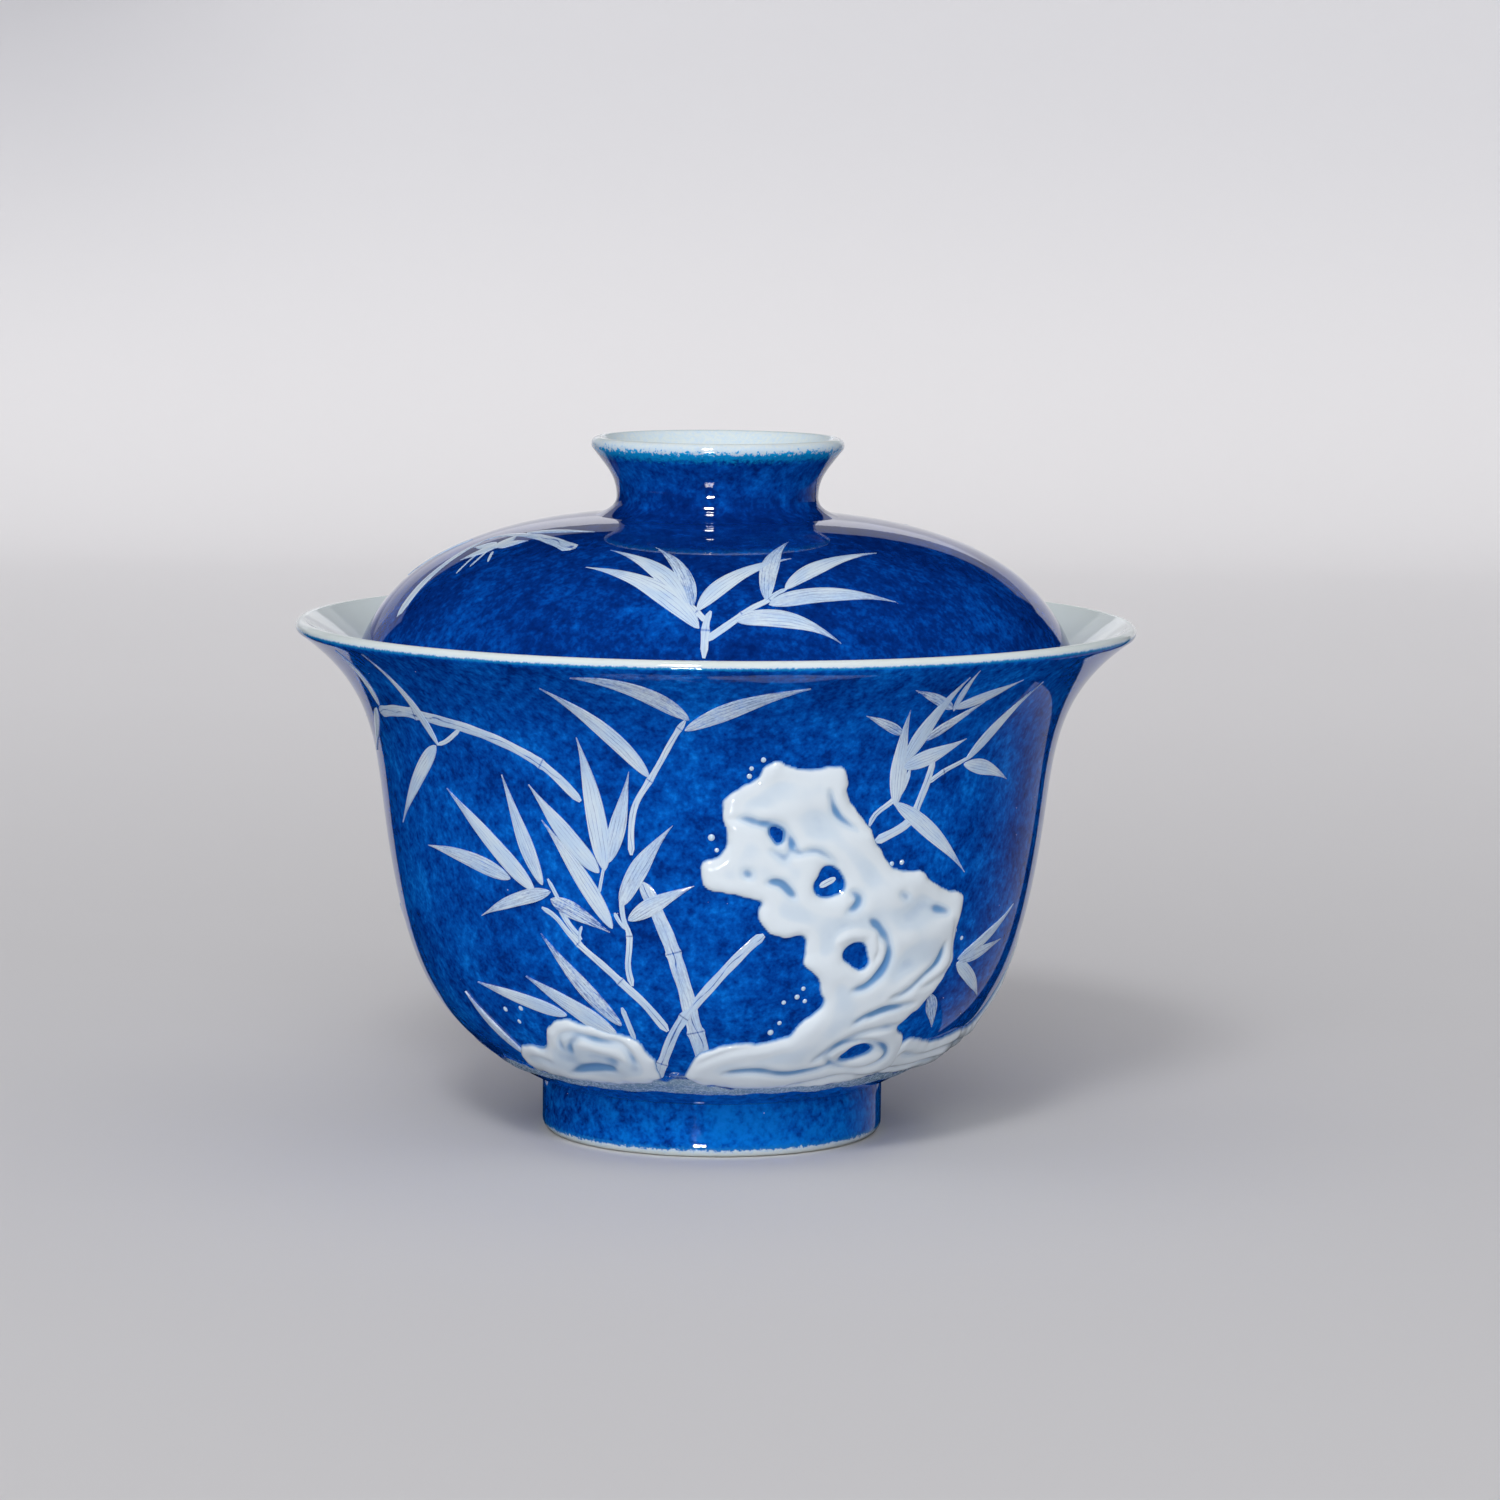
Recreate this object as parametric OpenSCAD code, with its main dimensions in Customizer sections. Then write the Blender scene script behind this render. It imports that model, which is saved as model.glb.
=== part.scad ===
// Gaiwan: a lidded porcelain tea bowl with rocks in relief and slip-brushed bamboo.
// Origin: centre of the foot ring's contact plane. +Z is up the axis, and the front faces -Y.
// Azimuths are degrees from the front, positive towards +X. Lengths are millimetres.

/* [Bowl] */
// Diameter across the flared rim
rim_d = 110; // [94:1:132]
// Height from the table to the top of the lip
bowl_h = 67.5; // [56:0.5:81]
// Diameter of the side where the belly runs into it
belly_d = 86; // [72:1:103]
// Height of that place
belly_h = 39.4; // [33:0.1:47]
// Thickness of the wall
bowl_wall_t = 2.4; // [1.8:0.1:3]
// Thickness of the rounded lip
lip_t = 1.7; // [1.2:0.1:2.2]
// Thickness of the floor above the foot ring
bowl_floor_t = 2.8; // [2:0.1:4]

/* [Foot ring] */
// Outside diameter of the foot ring
foot_d = 44.8; // [38:0.2:53]
// Height of the foot ring
foot_h = 7; // [5.5:0.1:8.5]
// Thickness of the foot ring
foot_t = 3; // [2.2:0.1:4]
// Bevel at its contact edge
foot_bevel = 1.2; // [0.6:0.1:1.4]

/* [Lid] */
// How far below the lip the lid's edge rests
seat_depth = 7.6; // [5:0.1:9]
// Gap between the lid's edge and the bowl
seat_gap = 0.3; // [0.2:0.05:0.5]
// Height of the dome's flat top above the lid's edge
dome_h = 20.9; // [17.4:0.1:25.1]
// Thickness of the dome
lid_wall_t = 2.2; // [1.6:0.1:2.8]

/* [Knob ring] */
// Diameter across the knob ring's flared lip
knob_d = 33.1; // [28:0.1:40]
// Diameter of its waist
knob_waist_d = 26.4; // [22:0.1:27]
// Diameter of its foot on the dome
knob_foot_d = 31.4; // [28:0.1:34]
// Height of the knob ring above the dome
knob_h = 10.2; // [8.5:0.1:12.5]
// Thickness of its wall
knob_wall_t = 2.1; // [1.5:0.1:2.6]

/* [Relief] */
// Height of the rocks above the wall
rock_t = 1.2; // [0.6:0.1:1.6]
// Height of the brushed slip above the wall
slip_t = 0.3; // [0.2:0.05:0.5]
// Height of the slip pearls above the wall
pearl_t = 0.4; // [0.3:0.05:0.6]
// Lower edge of the sandy ground band
band_low_z = 9.2; // [8.6:0.1:10]
// Upper edge of the sandy ground band
band_top_z = 12.4; // [11.4:0.1:13]

/* [Hidden] */

$fn = 160;
eps = 0.01;
curve_steps = 12;   // segments in each wall curve
lip_steps = 8;      // segments round a lip

// Shape of the outline between the driving sizes
side_slope = 0.15;        // how far the side leans out for each millimetre up
belly_reach = 0.68;       // how far out the underside pulls before it turns up
belly_drop = 0.21;        // how low it stays while it does
belly_turn = 0.42;        // share of the belly's height at which it has turned
side_share = 0.41;        // share of the upper side that stays straight
flare_rise = 7.6;         // height of the flare's knee below the lip
flare_in = 1;             // how far the knee stands out from the belly
inner_turn = 4;           // curve step at which the floor runs into the side

rim_r = rim_d / 2;
belly_r = belly_d / 2;
foot_r = foot_d / 2;
foot_inner_r = foot_r - foot_t;
knob_r = knob_d / 2;
knob_waist_r = knob_waist_d / 2;
knob_foot_r = knob_foot_d / 2;

// ---- Curves ----
function bezier_point(p, t) =
    pow(1 - t, 3) * p[0] + 3 * pow(1 - t, 2) * t * p[1] + 3 * (1 - t) * t * t * p[2] + pow(t, 3) * p[3];
function bezier(p, steps, first = 0) = [for (i = [first:steps]) bezier_point(p, i / steps)];
function unit(v) = v / norm(v);
// Left-hand normal of a path at point i
function path_normal(path, i) =
    let (a = path[max(i - 1, 0)])
    let (b = path[min(i + 1, len(path) - 1)])
    let (d = unit(b - a))
    [-d[1], d[0]];
function mix(a, b, t) = a + (b - a) * t;
// Path moved to its left by t0 at its start and t1 at its end
function offset_path(path, t0, t1) =
    [for (i = [0:len(path) - 1]) path[i] + mix(t0, t1, i / (len(path) - 1)) * path_normal(path, i)];
function reversed(path) = [for (i = [len(path) - 1:-1:0]) path[i]];
// Points of an arc round a centre
function arc(c, r, a0, a1, steps) =
    [for (i = [1:steps - 1]) let (a = mix(a0, a1, i / steps)) c + r * [cos(a), sin(a)]];
// Radius of a path of [r, z] points at height z
function radius_at(path, z) = lookup(z, [for (p = path) [p[1], p[0]]]);

// ---- Bowl outline, from the foot ring to the lip ----
lip_angle = -52;    // direction in which the outer wall meets the round lip
lip_c = [rim_r - lip_t / 2, bowl_h - lip_t / 2];
lip_out = lip_c + lip_t / 2 * [cos(lip_angle), sin(lip_angle)];
belly_curve = bezier([
    [foot_r, foot_h],
    [mix(foot_r, belly_r, belly_reach), mix(foot_h, belly_h, belly_drop)],
    [belly_r - side_slope * (1 - belly_turn) * (belly_h - foot_h), mix(foot_h, belly_h, belly_turn)],
    [belly_r, belly_h]
], curve_steps);
side_straight = side_share * (lip_out[1] - belly_h);
flare_curve = bezier([
    [belly_r, belly_h],
    [belly_r + side_slope * side_straight, belly_h + side_straight],
    [belly_r + flare_in, lip_out[1] - flare_rise],
    lip_out
], curve_steps, 1);
bowl_outer = concat(belly_curve, flare_curve);
bowl_offset = offset_path(bowl_outer, bowl_wall_t, lip_t);
turn_p = bowl_offset[inner_turn];
turn_d = unit(bowl_offset[inner_turn + 1] - bowl_offset[inner_turn - 1]);
floor_z = foot_h + bowl_floor_t;
floor_reach = (turn_p[1] - floor_z) / turn_d[1];
floor_curve = bezier([
    [0, floor_z],
    [(turn_p[0] - floor_reach * turn_d[0]) * 0.6, floor_z],
    turn_p - floor_reach * turn_d,
    turn_p
], curve_steps);
bowl_inner = concat(floor_curve, [for (i = [inner_turn + 1:len(bowl_offset) - 2]) bowl_offset[i]]);

// ---- Lid outline ----
edge_r = lid_wall_t / 2;    // the edge is a full round
seat_z = bowl_h - seat_depth;
lid_r = radius_at(bowl_inner, seat_z + edge_r) - seat_gap;
edge_c_r = lid_r - edge_r;
// Places along the inner wall, close enough together to measure the gap from
inner_samples = [
    for (i = [0:len(bowl_inner) - 2])
        for (k = [0:9])
            mix(bowl_inner[i], bowl_inner[i + 1], k / 10)
];
// Lowest height at which the round edge clears the flare by the gap
edge_c_z = max([
    for (p = inner_samples)
        let (d = abs(p[0] - edge_c_r))
        if (d < edge_r + seat_gap) p[1] + sqrt(pow(edge_r + seat_gap, 2) - d * d)
]);
lid_edge_z = edge_c_z - edge_r;
dome_top_z = lid_edge_z + dome_h;
edge_wall_h = 3.6;          // height of the upright stretch above the edge
shoulder_reach = 0.9;       // how far out the dome's shoulder pulls, as a share of the radius
shoulder_drop = 4.9;        // how far below the top it lies
crown_reach = 0.61;         // how far out the flatter crown pulls
crown_drop = 1.1;           // how far below the top it lies
dome_outer = bezier([
    [lid_r, lid_edge_z + edge_wall_h],
    [shoulder_reach * lid_r, dome_top_z - shoulder_drop],
    [crown_reach * lid_r, dome_top_z - crown_drop],
    [knob_foot_r, dome_top_z]
], 2 * curve_steps);
lid_inner_top = dome_top_z - lid_wall_t;
dome_inner = offset_path(dome_outer, lid_wall_t, lid_wall_t);

// ---- Knob ring outline ----
knob_lip_t = 1.9;
knob_lip_angle = -40;       // direction in which its outer wall meets the round lip
waist_share = 0.24;         // share of its height at which the waist lies
knob_top_z = dome_top_z + knob_h;
knob_waist_z = dome_top_z + waist_share * knob_h;
knob_lip_c = [knob_r - knob_lip_t / 2, knob_top_z - knob_lip_t / 2];
knob_lip_out = knob_lip_c + knob_lip_t / 2 * [cos(knob_lip_angle), sin(knob_lip_angle)];
knob_lower = bezier([
    [knob_foot_r, dome_top_z],
    [mix(knob_waist_r, knob_foot_r, 0.45), dome_top_z + 0.15 * (knob_waist_z - dome_top_z)],
    [knob_waist_r, mix(dome_top_z, knob_waist_z, 0.5)],
    [knob_waist_r, knob_waist_z]
], curve_steps);
knob_upper = bezier([
    [knob_waist_r, knob_waist_z],
    [knob_waist_r, mix(knob_waist_z, knob_lip_out[1], 0.42)],
    [mix(knob_waist_r, knob_lip_out[0], 0.42), mix(knob_waist_z, knob_lip_out[1], 0.62)],
    knob_lip_out
], curve_steps, 1);
knob_outer = concat(knob_lower, knob_upper);
knob_inner = [for (p = offset_path(knob_outer, knob_wall_t, knob_lip_t)) [p[0], max(p[1], dome_top_z)]];

// ---- Thrown and turned clay ----
module bowl_wall() {
    color([0.12, 0.19, 0.5])
        rotate_extrude()
            polygon(concat(
                [[0, foot_h]],
                bowl_outer,
                arc(lip_c, lip_t / 2, lip_angle, lip_angle + 180, lip_steps),
                [lip_c - lip_t / 2 * [cos(lip_angle), sin(lip_angle)]],
                reversed(bowl_inner)
            ));
}

module bowl_foot_ring() {
    color([0.1, 0.15, 0.4])
        rotate_extrude()
            polygon([
                [foot_inner_r, foot_h],
                [foot_inner_r, foot_bevel],
                [foot_inner_r + foot_bevel / 2, 0],
                [foot_r - foot_bevel, 0],
                [foot_r - foot_bevel / 3, foot_bevel * 2 / 3],
                [foot_r, foot_bevel * 2],
                [foot_r, foot_h]
            ]);
}

module lid_dome() {
    inner = [for (p = dome_inner) if (p[1] < lid_inner_top) p];
    color([0.13, 0.2, 0.52])
        rotate_extrude()
            polygon(concat(
                [[0, dome_top_z]],
                reversed(dome_outer),
                arc([edge_c_r, edge_c_z], edge_r, 0, -180, lip_steps),
                [[lid_r - lid_wall_t, edge_c_z]],
                inner,
                [[0, inner[len(inner) - 1][1]]]
            ));
}

module lid_knob_ring() {
    color([0.14, 0.22, 0.55])
        rotate_extrude()
            polygon(concat(
                knob_outer,
                arc(knob_lip_c, knob_lip_t / 2, knob_lip_angle, knob_lip_angle + 180, lip_steps),
                reversed(knob_inner)
            ));
}

// ---- Skins that the relief is cut from ----
// Part of a path of [r, z] points between two heights, with cut ends
function path_between(path, z0, z1) = concat(
    [[radius_at(path, z0), z0]],
    [for (p = path) if (p[1] > z0 + eps && p[1] < z1 - eps) p],
    [[radius_at(path, z1), z1]]
);
// Skin on the outside of the bowl
module bowl_skin(t, z0, z1) {
    base = path_between(bowl_outer, z0, z1);
    rotate_extrude()
        polygon(concat(base, reversed(offset_path(base, -t, -t))));
}
// Skin on top of the dome
module dome_skin(t) {
    base = [for (p = dome_outer) if (p[0] > knob_foot_r + knob_clear) p];
    rotate_extrude()
        polygon(concat(base, reversed(offset_path(base, -t, -t))));
}

// The decoration is drawn for a bowl of this height and a lid of this radius, and grows with them
art_bowl_h = 67.5;
art_lid_r = 46.5;
art_k = bowl_h / art_bowl_h;
art_lid_k = lid_r / art_lid_r;
lip_clear = 0.4;            // how far below the round lip the decoration ends
knob_clear = 1;             // how far outside the knob ring's foot it ends on the lid
prism_over = 5;             // how far the cutting prisms run past the skins
reach_in_share = 0.25;      // share of the belly's radius at which radial prisms start
art_top_z = lip_out[1] - lip_clear;
reach_in = reach_in_share * belly_r;
reach_out = max(rim_r, belly_r) + prism_over;

// Extrudes an elevation drawing outwards at one azimuth
module outwards(azimuth) {
    rotate([0, 0, azimuth])
        translate([0, -reach_in, 0])
            rotate([90, 0, 0])
                linear_extrude(reach_out - reach_in)
                    scale(art_k)
                        children();
}

// ---- Brush strokes ----
leaf_steps = 7;
// Half width of a bamboo leaf along its length: a narrow base, a full middle and a long point
function leaf_half(t) = 0.5 * pow(sin(180 * pow(t, 0.72)), 0.85) * (1 - 0.25 * t) + 0.02;
module leaf(length, width) {
    polygon(concat(
        [for (i = [0:leaf_steps]) let (t = i / leaf_steps) [length * t, -width * leaf_half(t)]],
        [for (i = [leaf_steps:-1:0]) let (t = i / leaf_steps) [length * t, width * leaf_half(t)]]
    ));
}
// A stroke along points, tapering from one width to another
module stroke(points, w0, w1) {
    polygon(concat(offset_path(points, w0 / 2, w1 / 2), reversed(offset_path(points, -w0 / 2, -w1 / 2))));
}

// Leaves are [azimuth, height, heading, length, width]; a heading of 0 points to +X and 90 points up
module bowl_leaves(list) {
    for (l = list)
        outwards(l[0])
            translate([0, l[1]])
                rotate(l[2])
                    leaf(l[3], l[4]);
}
// Strokes are [azimuth, start width, end width, points], with points across and up at that azimuth
module bowl_strokes(list) {
    for (s = list)
        outwards(s[0])
            stroke(s[3], s[1], s[2]);
}

// ---- Rocks in relief: outlines across and up, seen square on at their azimuth ----
scholar_rock_azimuth = 22;
scholar_rock_outline = [
    [-14.5, 11], [-15, 15.5], [-13.5, 16.5], [-11.5, 17.5], [-7.5, 17.5], [-5.5, 18], [-4, 18.5],
    [-3, 20.5], [-1.5, 21.5], [-0.5, 23], [-1.5, 24.5], [-1.5, 26], [-3, 27], [-4, 28], [-4, 30.5],
    [-4.5, 32], [-6.5, 31.5], [-8.5, 32], [-10, 33.5], [-10.5, 35], [-10, 36.5], [-12.5, 37],
    [-15, 37.5], [-17, 38], [-17.5, 40], [-17.5, 41.5], [-15.5, 42], [-14.5, 44], [-15, 46],
    [-15.5, 47.5], [-15.5, 49.5], [-13.5, 51], [-11.5, 52], [-11, 53.5], [-9.5, 54.5], [-7.5, 53.5],
    [-5, 53], [-3, 53.5], [-1, 53.5], [0, 52], [0, 49.5], [1.5, 47.5], [3.5, 45.5], [4, 44],
    [5.5, 42], [7, 40], [9, 39.5], [11.5, 39.5], [13, 38], [15.5, 36.5], [18.5, 36], [19, 34.5],
    [18.5, 33], [18, 31], [18, 29], [18.5, 27], [17, 24.5], [15.5, 22.5], [13.5, 20.5], [11.5, 19],
    [11, 18.5], [13.5, 16.5], [13.5, 11]
];
// Holes are [across, up, half width, half height, tilt]
scholar_rock_holes = [
    [-8.7, 44.9, 0.7, 0.9, 20],
    [-1.6, 38.6, 2.1, 1.6, -35],
    [3, 28.9, 1.7, 1.5, -15],
    [6.1, 15.5, 1.9, 0.9, 8]
];
hole_points = 14;
left_boulder_azimuth = -28;
left_boulder_outline = [
    [-11.5, 11], [-11.5, 14], [-9, 15.5], [-5.5, 15], [-4.5, 18], [-2.5, 19.5], [-0.5, 20], [3.5, 19],
    [7.5, 18], [8.5, 17.5], [9, 15.5], [9.5, 14.5], [8, 11]
];
side_rock_azimuth = 80;
side_rock_outline = [
    [-21, 11], [-21, 16.5], [-18.5, 16.5], [-15, 15.2], [-11, 15.4], [-8.5, 16], [-4, 15.4], [0, 15.8],
    [3, 17.5], [5.5, 20.5], [8, 24.5], [10.5, 27.5], [13, 27], [14.5, 24], [16, 21], [19, 18.5], [21, 15.5],
    [22, 11]
];
back_boulder_azimuth = 190;
back_boulder_outline = [
    [-15, 11], [-14, 15], [-11, 16.5], [-8, 20], [-5, 21], [-2.5, 24.5], [1, 25], [3, 22], [6, 20.5],
    [8, 17], [12, 16], [14, 14], [14.5, 11]
];

module hole(h) {
    translate([h[0], h[1]])
        rotate(h[4])
            polygon([
                for (i = [0:hole_points - 1]) let (a = 360 * i / hole_points) [h[2] * cos(a), h[3] * sin(a)]
            ]);
}
module scholar_rock_prism() {
    outwards(scholar_rock_azimuth) {
        difference() {
            polygon(scholar_rock_outline);
            for (h = scholar_rock_holes)
                hole(h);
        }
    }
}
module scholar_rock_block() {
    outwards(scholar_rock_azimuth)
        polygon(scholar_rock_outline);
}
module left_boulder_prism() {
    outwards(left_boulder_azimuth)
        polygon(left_boulder_outline);
}
module side_rock_prism() {
    outwards(side_rock_azimuth)
        polygon(side_rock_outline);
}
module back_boulder_prism() {
    outwards(back_boulder_azimuth)
        polygon(back_boulder_outline);
}

module rock_relief() {
    color([0.83, 0.88, 0.93])
        intersection() {
            bowl_skin(rock_t, band_top_z, art_top_z);
            children();
        }
}
module scholar_rock() { rock_relief() scholar_rock_prism(); }
module left_boulder() { rock_relief() left_boulder_prism(); }
module side_rock() {
    difference() {
        rock_relief() side_rock_prism();
        scholar_rock_block();
    }
}
module back_boulder() { rock_relief() back_boulder_prism(); }

module ground_band() {
    color([0.72, 0.76, 0.8])
        bowl_skin(slip_t, band_low_z, band_top_z);
}

// ---- Slip pearls: [azimuth, height, radius] beside the rocks ----
pearls = [
    [-44, 20, 0.35], [-41.5, 18.5, 0.3], [-39.5, 20.5, 0.35], [7.9, 54.4, 0.35], [6.1, 53.3, 0.3],
    [5.8, 52.3, 0.35], [-0.1, 44.5, 0.45], [0.8, 42.9, 0.3], [16.9, 24.8, 0.3], [15.9, 23.7, 0.35],
    [17.5, 23.1, 0.3], [13.5, 23, 0.3], [13.2, 20.2, 0.3], [11.7, 18.9, 0.4], [31.3, 40.5, 0.35],
    [33.3, 40.6, 0.35], [48, 30.8, 0.35], [50.4, 29.6, 0.3], [112, 27, 0.5], [115, 24, 0.35],
    [172, 24, 0.5], [177, 26.5, 0.35], [201, 24, 0.4], [206, 19.5, 0.3], [215, 18, 0.35]
];
module slip_pearls() {
    color([0.85, 0.9, 0.95])
        difference() {
            intersection() {
                bowl_skin(pearl_t, band_top_z, art_top_z);
                for (p = pearls)
                    outwards(p[0])
                        translate([0, p[1]])
                            circle(p[2]);
            }
            scholar_rock_block();
            left_boulder_prism();
            side_rock_prism();
            back_boulder_prism();
        }
}

// ---- Bamboo on the bowl ----
front_strokes = [
    // high cane that leans in from the left, and its twig
    [-45, 1.4, 1.1, [
        [-17, 57], [-9.5, 58], [-3.5, 57.5], [2, 57], [6.5, 56], [10.5, 54.5], [14, 52.5], [17.5, 48.5]
    ]],
    [-45, 0.6, 0.5, [[1.5, 56.5], [-2, 54.5], [-4, 54]]],
    // twig above the cluster
    [-10, 0.8, 0.6, [[-2.5, 42], [-2.5, 45.5], [-2, 48.5], [0, 51.5], [1.5, 54], [3.5, 57.5], [5, 59.5]]],
    // branch from the cluster down to the canes
    [-20, 0.6, 1.2, [
        [-7.5, 34.5], [-5.5, 33.5], [-4, 31.5], [-2, 29.5], [0.5, 27.5], [3, 25], [5.5, 22.5], [7.5, 19]
    ]],
    [-20, 0.6, 0.8, [[3.5, 36.9], [3.5, 33.7], [4.3, 32], [4.1, 29.9], [3.6, 27.5], [4, 25]]],
    // twigs that carry the leaves of the cluster
    [-20, 0.5, 0.8, [[-6.4, 38.3], [-5, 35.8], [-4.5, 33.5], [-2.2, 30.7]]],
    [-20, 0.4, 0.4, [[1.5, 40.6], [1, 38.6], [0.6, 36.8]]],
    [-20, 0.5, 0.4, [[2.5, 34.5], [3, 33.4], [3.8, 32.4]]],
    [-20, 0.4, 0.4, [[-2, 32.5], [-2.5, 31.3], [-2.5, 30.2]]],
    // tall cane and the cane that leans across it
    [-5, 1.6, 2, [
        [-5, 38.5], [-4, 37], [-3, 34.5], [-1.5, 31], [-0.5, 27.5], [0.5, 24], [1, 20.5], [2, 16.5], [2.5, 11]
    ]],
    [-2, 1.3, 1.2, [[-6, 11], [-5, 14], [-3.5, 18.5], [-2, 21], [1.5, 25.5], [6.5, 31], [8, 32]]],
    [-16, 0.7, 0.6, [[-0.5, 22], [0, 20], [0.5, 17.5]]]
];
front_leaves = [
    [-50, 54.5, 112, 12, 1.3], [-51, 53.5, -137, 16, 2.1], [-65, 58.5, 77, 7, 1.3],
    [-68, 57, -144, 10.5, 1.2],
    [-10.5, 52.5, 139, 16.5, 1.7], [-4, 60, 160, 15, 1.6], [-3.5, 58.5, 20, 16, 1.6],
    [-18, 40.5, 99, 16.5, 2.5], [-19.5, 40, 131, 13.5, 2], [-17, 41.5, 75, 11.5, 1.9], [-15, 36, 57, 12, 2.3],
    [-17.5, 33, 124, 15.5, 2], [-30, 38, 110, 14, 1.9], [-32, 37, 139, 17.5, 2.1], [-37, 38, 170, 15, 2],
    [-29, 36.5, 200, 11.5, 1.7], [-27.5, 35.5, -26, 8, 1.9], [-13.5, 34, 29, 9, 1.9],
    [-18, 20, 130, 14.5, 1.7], [-19.5, 18.5, 149, 13, 2], [-29.5, 20.5, 168, 13.5, 1.5],
    [-47.5, 14, 124, 9, 1.3]
];
right_strokes = [
    [33, 0.7, 0.7, [[-5, 45.5], [-4.5, 47], [-2, 48.5], [-0.5, 50], [0, 52.5]]],
    [33, 1.2, 1, [[-4, 43.5], [1, 45.5], [2, 48], [3, 50.5], [3.5, 53.5]]],
    [33, 0.7, 0.5, [[3, 50.5], [5.5, 52], [8.5, 53], [9.5, 53.5]]]
];
right_leaves = [
    [31, 48.5, 94, 12, 2.1], [32, 54, 67, 11.5, 1.9], [32, 53, 18, 9.5, 1.9], [31.5, 48, -38, 15.5, 1.9],
    [45, 53.5, 48, 12.5, 1.3], [45, 52.5, -16, 9.5, 1.6], [29.5, 57.5, 156, 6, 1], [35, 56.5, 31, 8.5, 1],
    [38, 60.5, 95, 5, 0.8], [38.5, 60.5, 18, 9.5, 1.3], [37, 60.5, 159, 7.5, 1],
    [51.5, 27, 25, 13, 1.3], [52, 26.5, 10, 9.5, 1.3], [51.5, 26, -33, 10, 1.6], [46, 22, -54, 5.5, 1.6]
];
back_strokes = [
    [150, 1.9, 1.5, [[-4, 11], [-3, 16], [-1, 22], [0.5, 29], [1, 36], [3, 43], [6, 50], [10, 55.5]]],
    [158, 1.2, 1, [[5, 11], [3.5, 17], [0.5, 24], [-4, 31], [-7, 36]]],
    [230, 1.4, 1, [[6, 11], [4, 18], [3, 26], [0, 33], [-5, 40], [-11, 45]]],
    [150, 0.7, 0.5, [[1, 34], [-2, 37], [-6, 39]]],
    [250, 0.8, 0.6, [[-9, 36], [-4, 41], [0, 47], [2, 52]]],
    [171, 0.9, 0.6, [[-14.5, 33.5], [-8, 35.5], [0, 37.2], [4, 39.8], [9, 42.5], [14.3, 45]]],
    [112, 1.2, 0.8, [[-3.5, 14.5], [-3.2, 24], [-2, 34], [-2.5, 43], [-6, 50.5]]],
    [112, 0.6, 0.5, [[-2.2, 37], [1, 41], [4.6, 44]]],
    [230, 0.7, 0.6, [[3.5, 24], [5.2, 30], [6.5, 36]]],
    [262, 0.8, 0.6, [[-4, 12.5], [-2.5, 17], [0.5, 22]]]
];
back_leaves = [
    [104, 52, 55, 11, 1.6], [105, 51, 120, 13, 1.9], [106, 50, -30, 12, 1.7], [118, 44, 165, 14, 2],
    [140, 38.5, 140, 15, 2.1], [141, 38, 185, 13, 1.8], [142, 37.5, 100, 12, 1.9], [146, 33, 215, 11, 1.7],
    [155, 44, 25, 14, 1.9], [160, 50, 160, 15, 1.7], [164, 55, 40, 12, 1.6], [165, 54, -20, 14, 1.9],
    [171, 37, 60, 13, 2], [176, 40, 10, 15, 1.9], [190, 46, 110, 15, 2.1], [192, 45, 150, 13, 1.7],
    [194, 44, 70, 12, 1.8], [213, 44, 200, 12, 1.7], [215, 45.5, 130, 15, 2], [217, 46, 85, 13, 1.8],
    [236, 30, 30, 13, 1.9], [238, 32, 70, 12, 1.7], [251, 52, 115, 12, 1.6], [253, 52.5, 60, 11, 1.5],
    [254, 51, 15, 14, 1.9], [240, 20, 145, 12, 1.6], [262, 22, 110, 12, 1.6], [264, 21, 60, 10, 1.4]
];
module bamboo_on_bowl(strokes, leaves) {
    color([0.86, 0.91, 0.97])
        difference() {
            intersection() {
                bowl_skin(slip_t, band_top_z, art_top_z);
                union() {
                    bowl_strokes(strokes);
                    bowl_leaves(leaves);
                }
            }
            children();
        }
}
module front_bamboo() {
    bamboo_on_bowl(front_strokes, front_leaves) {
        scholar_rock_block();
        left_boulder_prism();
    }
}
module right_bamboo() {
    bamboo_on_bowl(right_strokes, right_leaves) {
        scholar_rock_block();
        side_rock_prism();
    }
}
module back_bamboo() {
    bamboo_on_bowl(back_strokes, back_leaves) {
        side_rock_prism();
        back_boulder_prism();
    }
}

// ---- Bamboo on the lid, drawn in plan ----
// Leaves are [azimuth, radius, heading, length, width]; a heading of 90 points to the axis
module lid_leaves(list) {
    for (l = list)
        rotate(l[0])
            translate([0, -l[1]])
                rotate(l[2])
                    leaf(l[3], l[4]);
}
// Strokes are [azimuth, start width, end width, points], with points across and out at that azimuth
module lid_strokes(list) {
    for (s = list)
        rotate(s[0])
            stroke([for (p = s[3]) [p[0], -p[1]]], s[1], s[2]);
}
lid_front_strokes = [
    [0, 0.9, 0.7, [[-1.2, 45.3], [-1.1, 43.9], [-1, 42.2], [-0.4, 41]]],
    [0, 0.7, 0.5, [[-1, 42.2], [-2.2, 41], [-3.2, 39.8]]],
    [0, 0.7, 0.5, [[-1, 44], [1, 43], [3, 41.7], [4.5, 40.4], [6.5, 39.2], [7.5, 37.9], [9, 36.7]]]
];
lid_front_leaves = [
    [-3, 42.5, 142, 18.5, 2.3], [-5, 40, 131, 16.5, 2.1], [-4, 40, 114, 13.5, 1.9], [-2.5, 40.5, 46, 15.5, 2],
    [9.5, 39, 70, 14.5, 2], [14, 37.5, 36, 17.5, 1.9], [10.5, 40, 11, 16.5, 2], [4.5, 42, -2, 12.5, 1.7]
];
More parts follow.
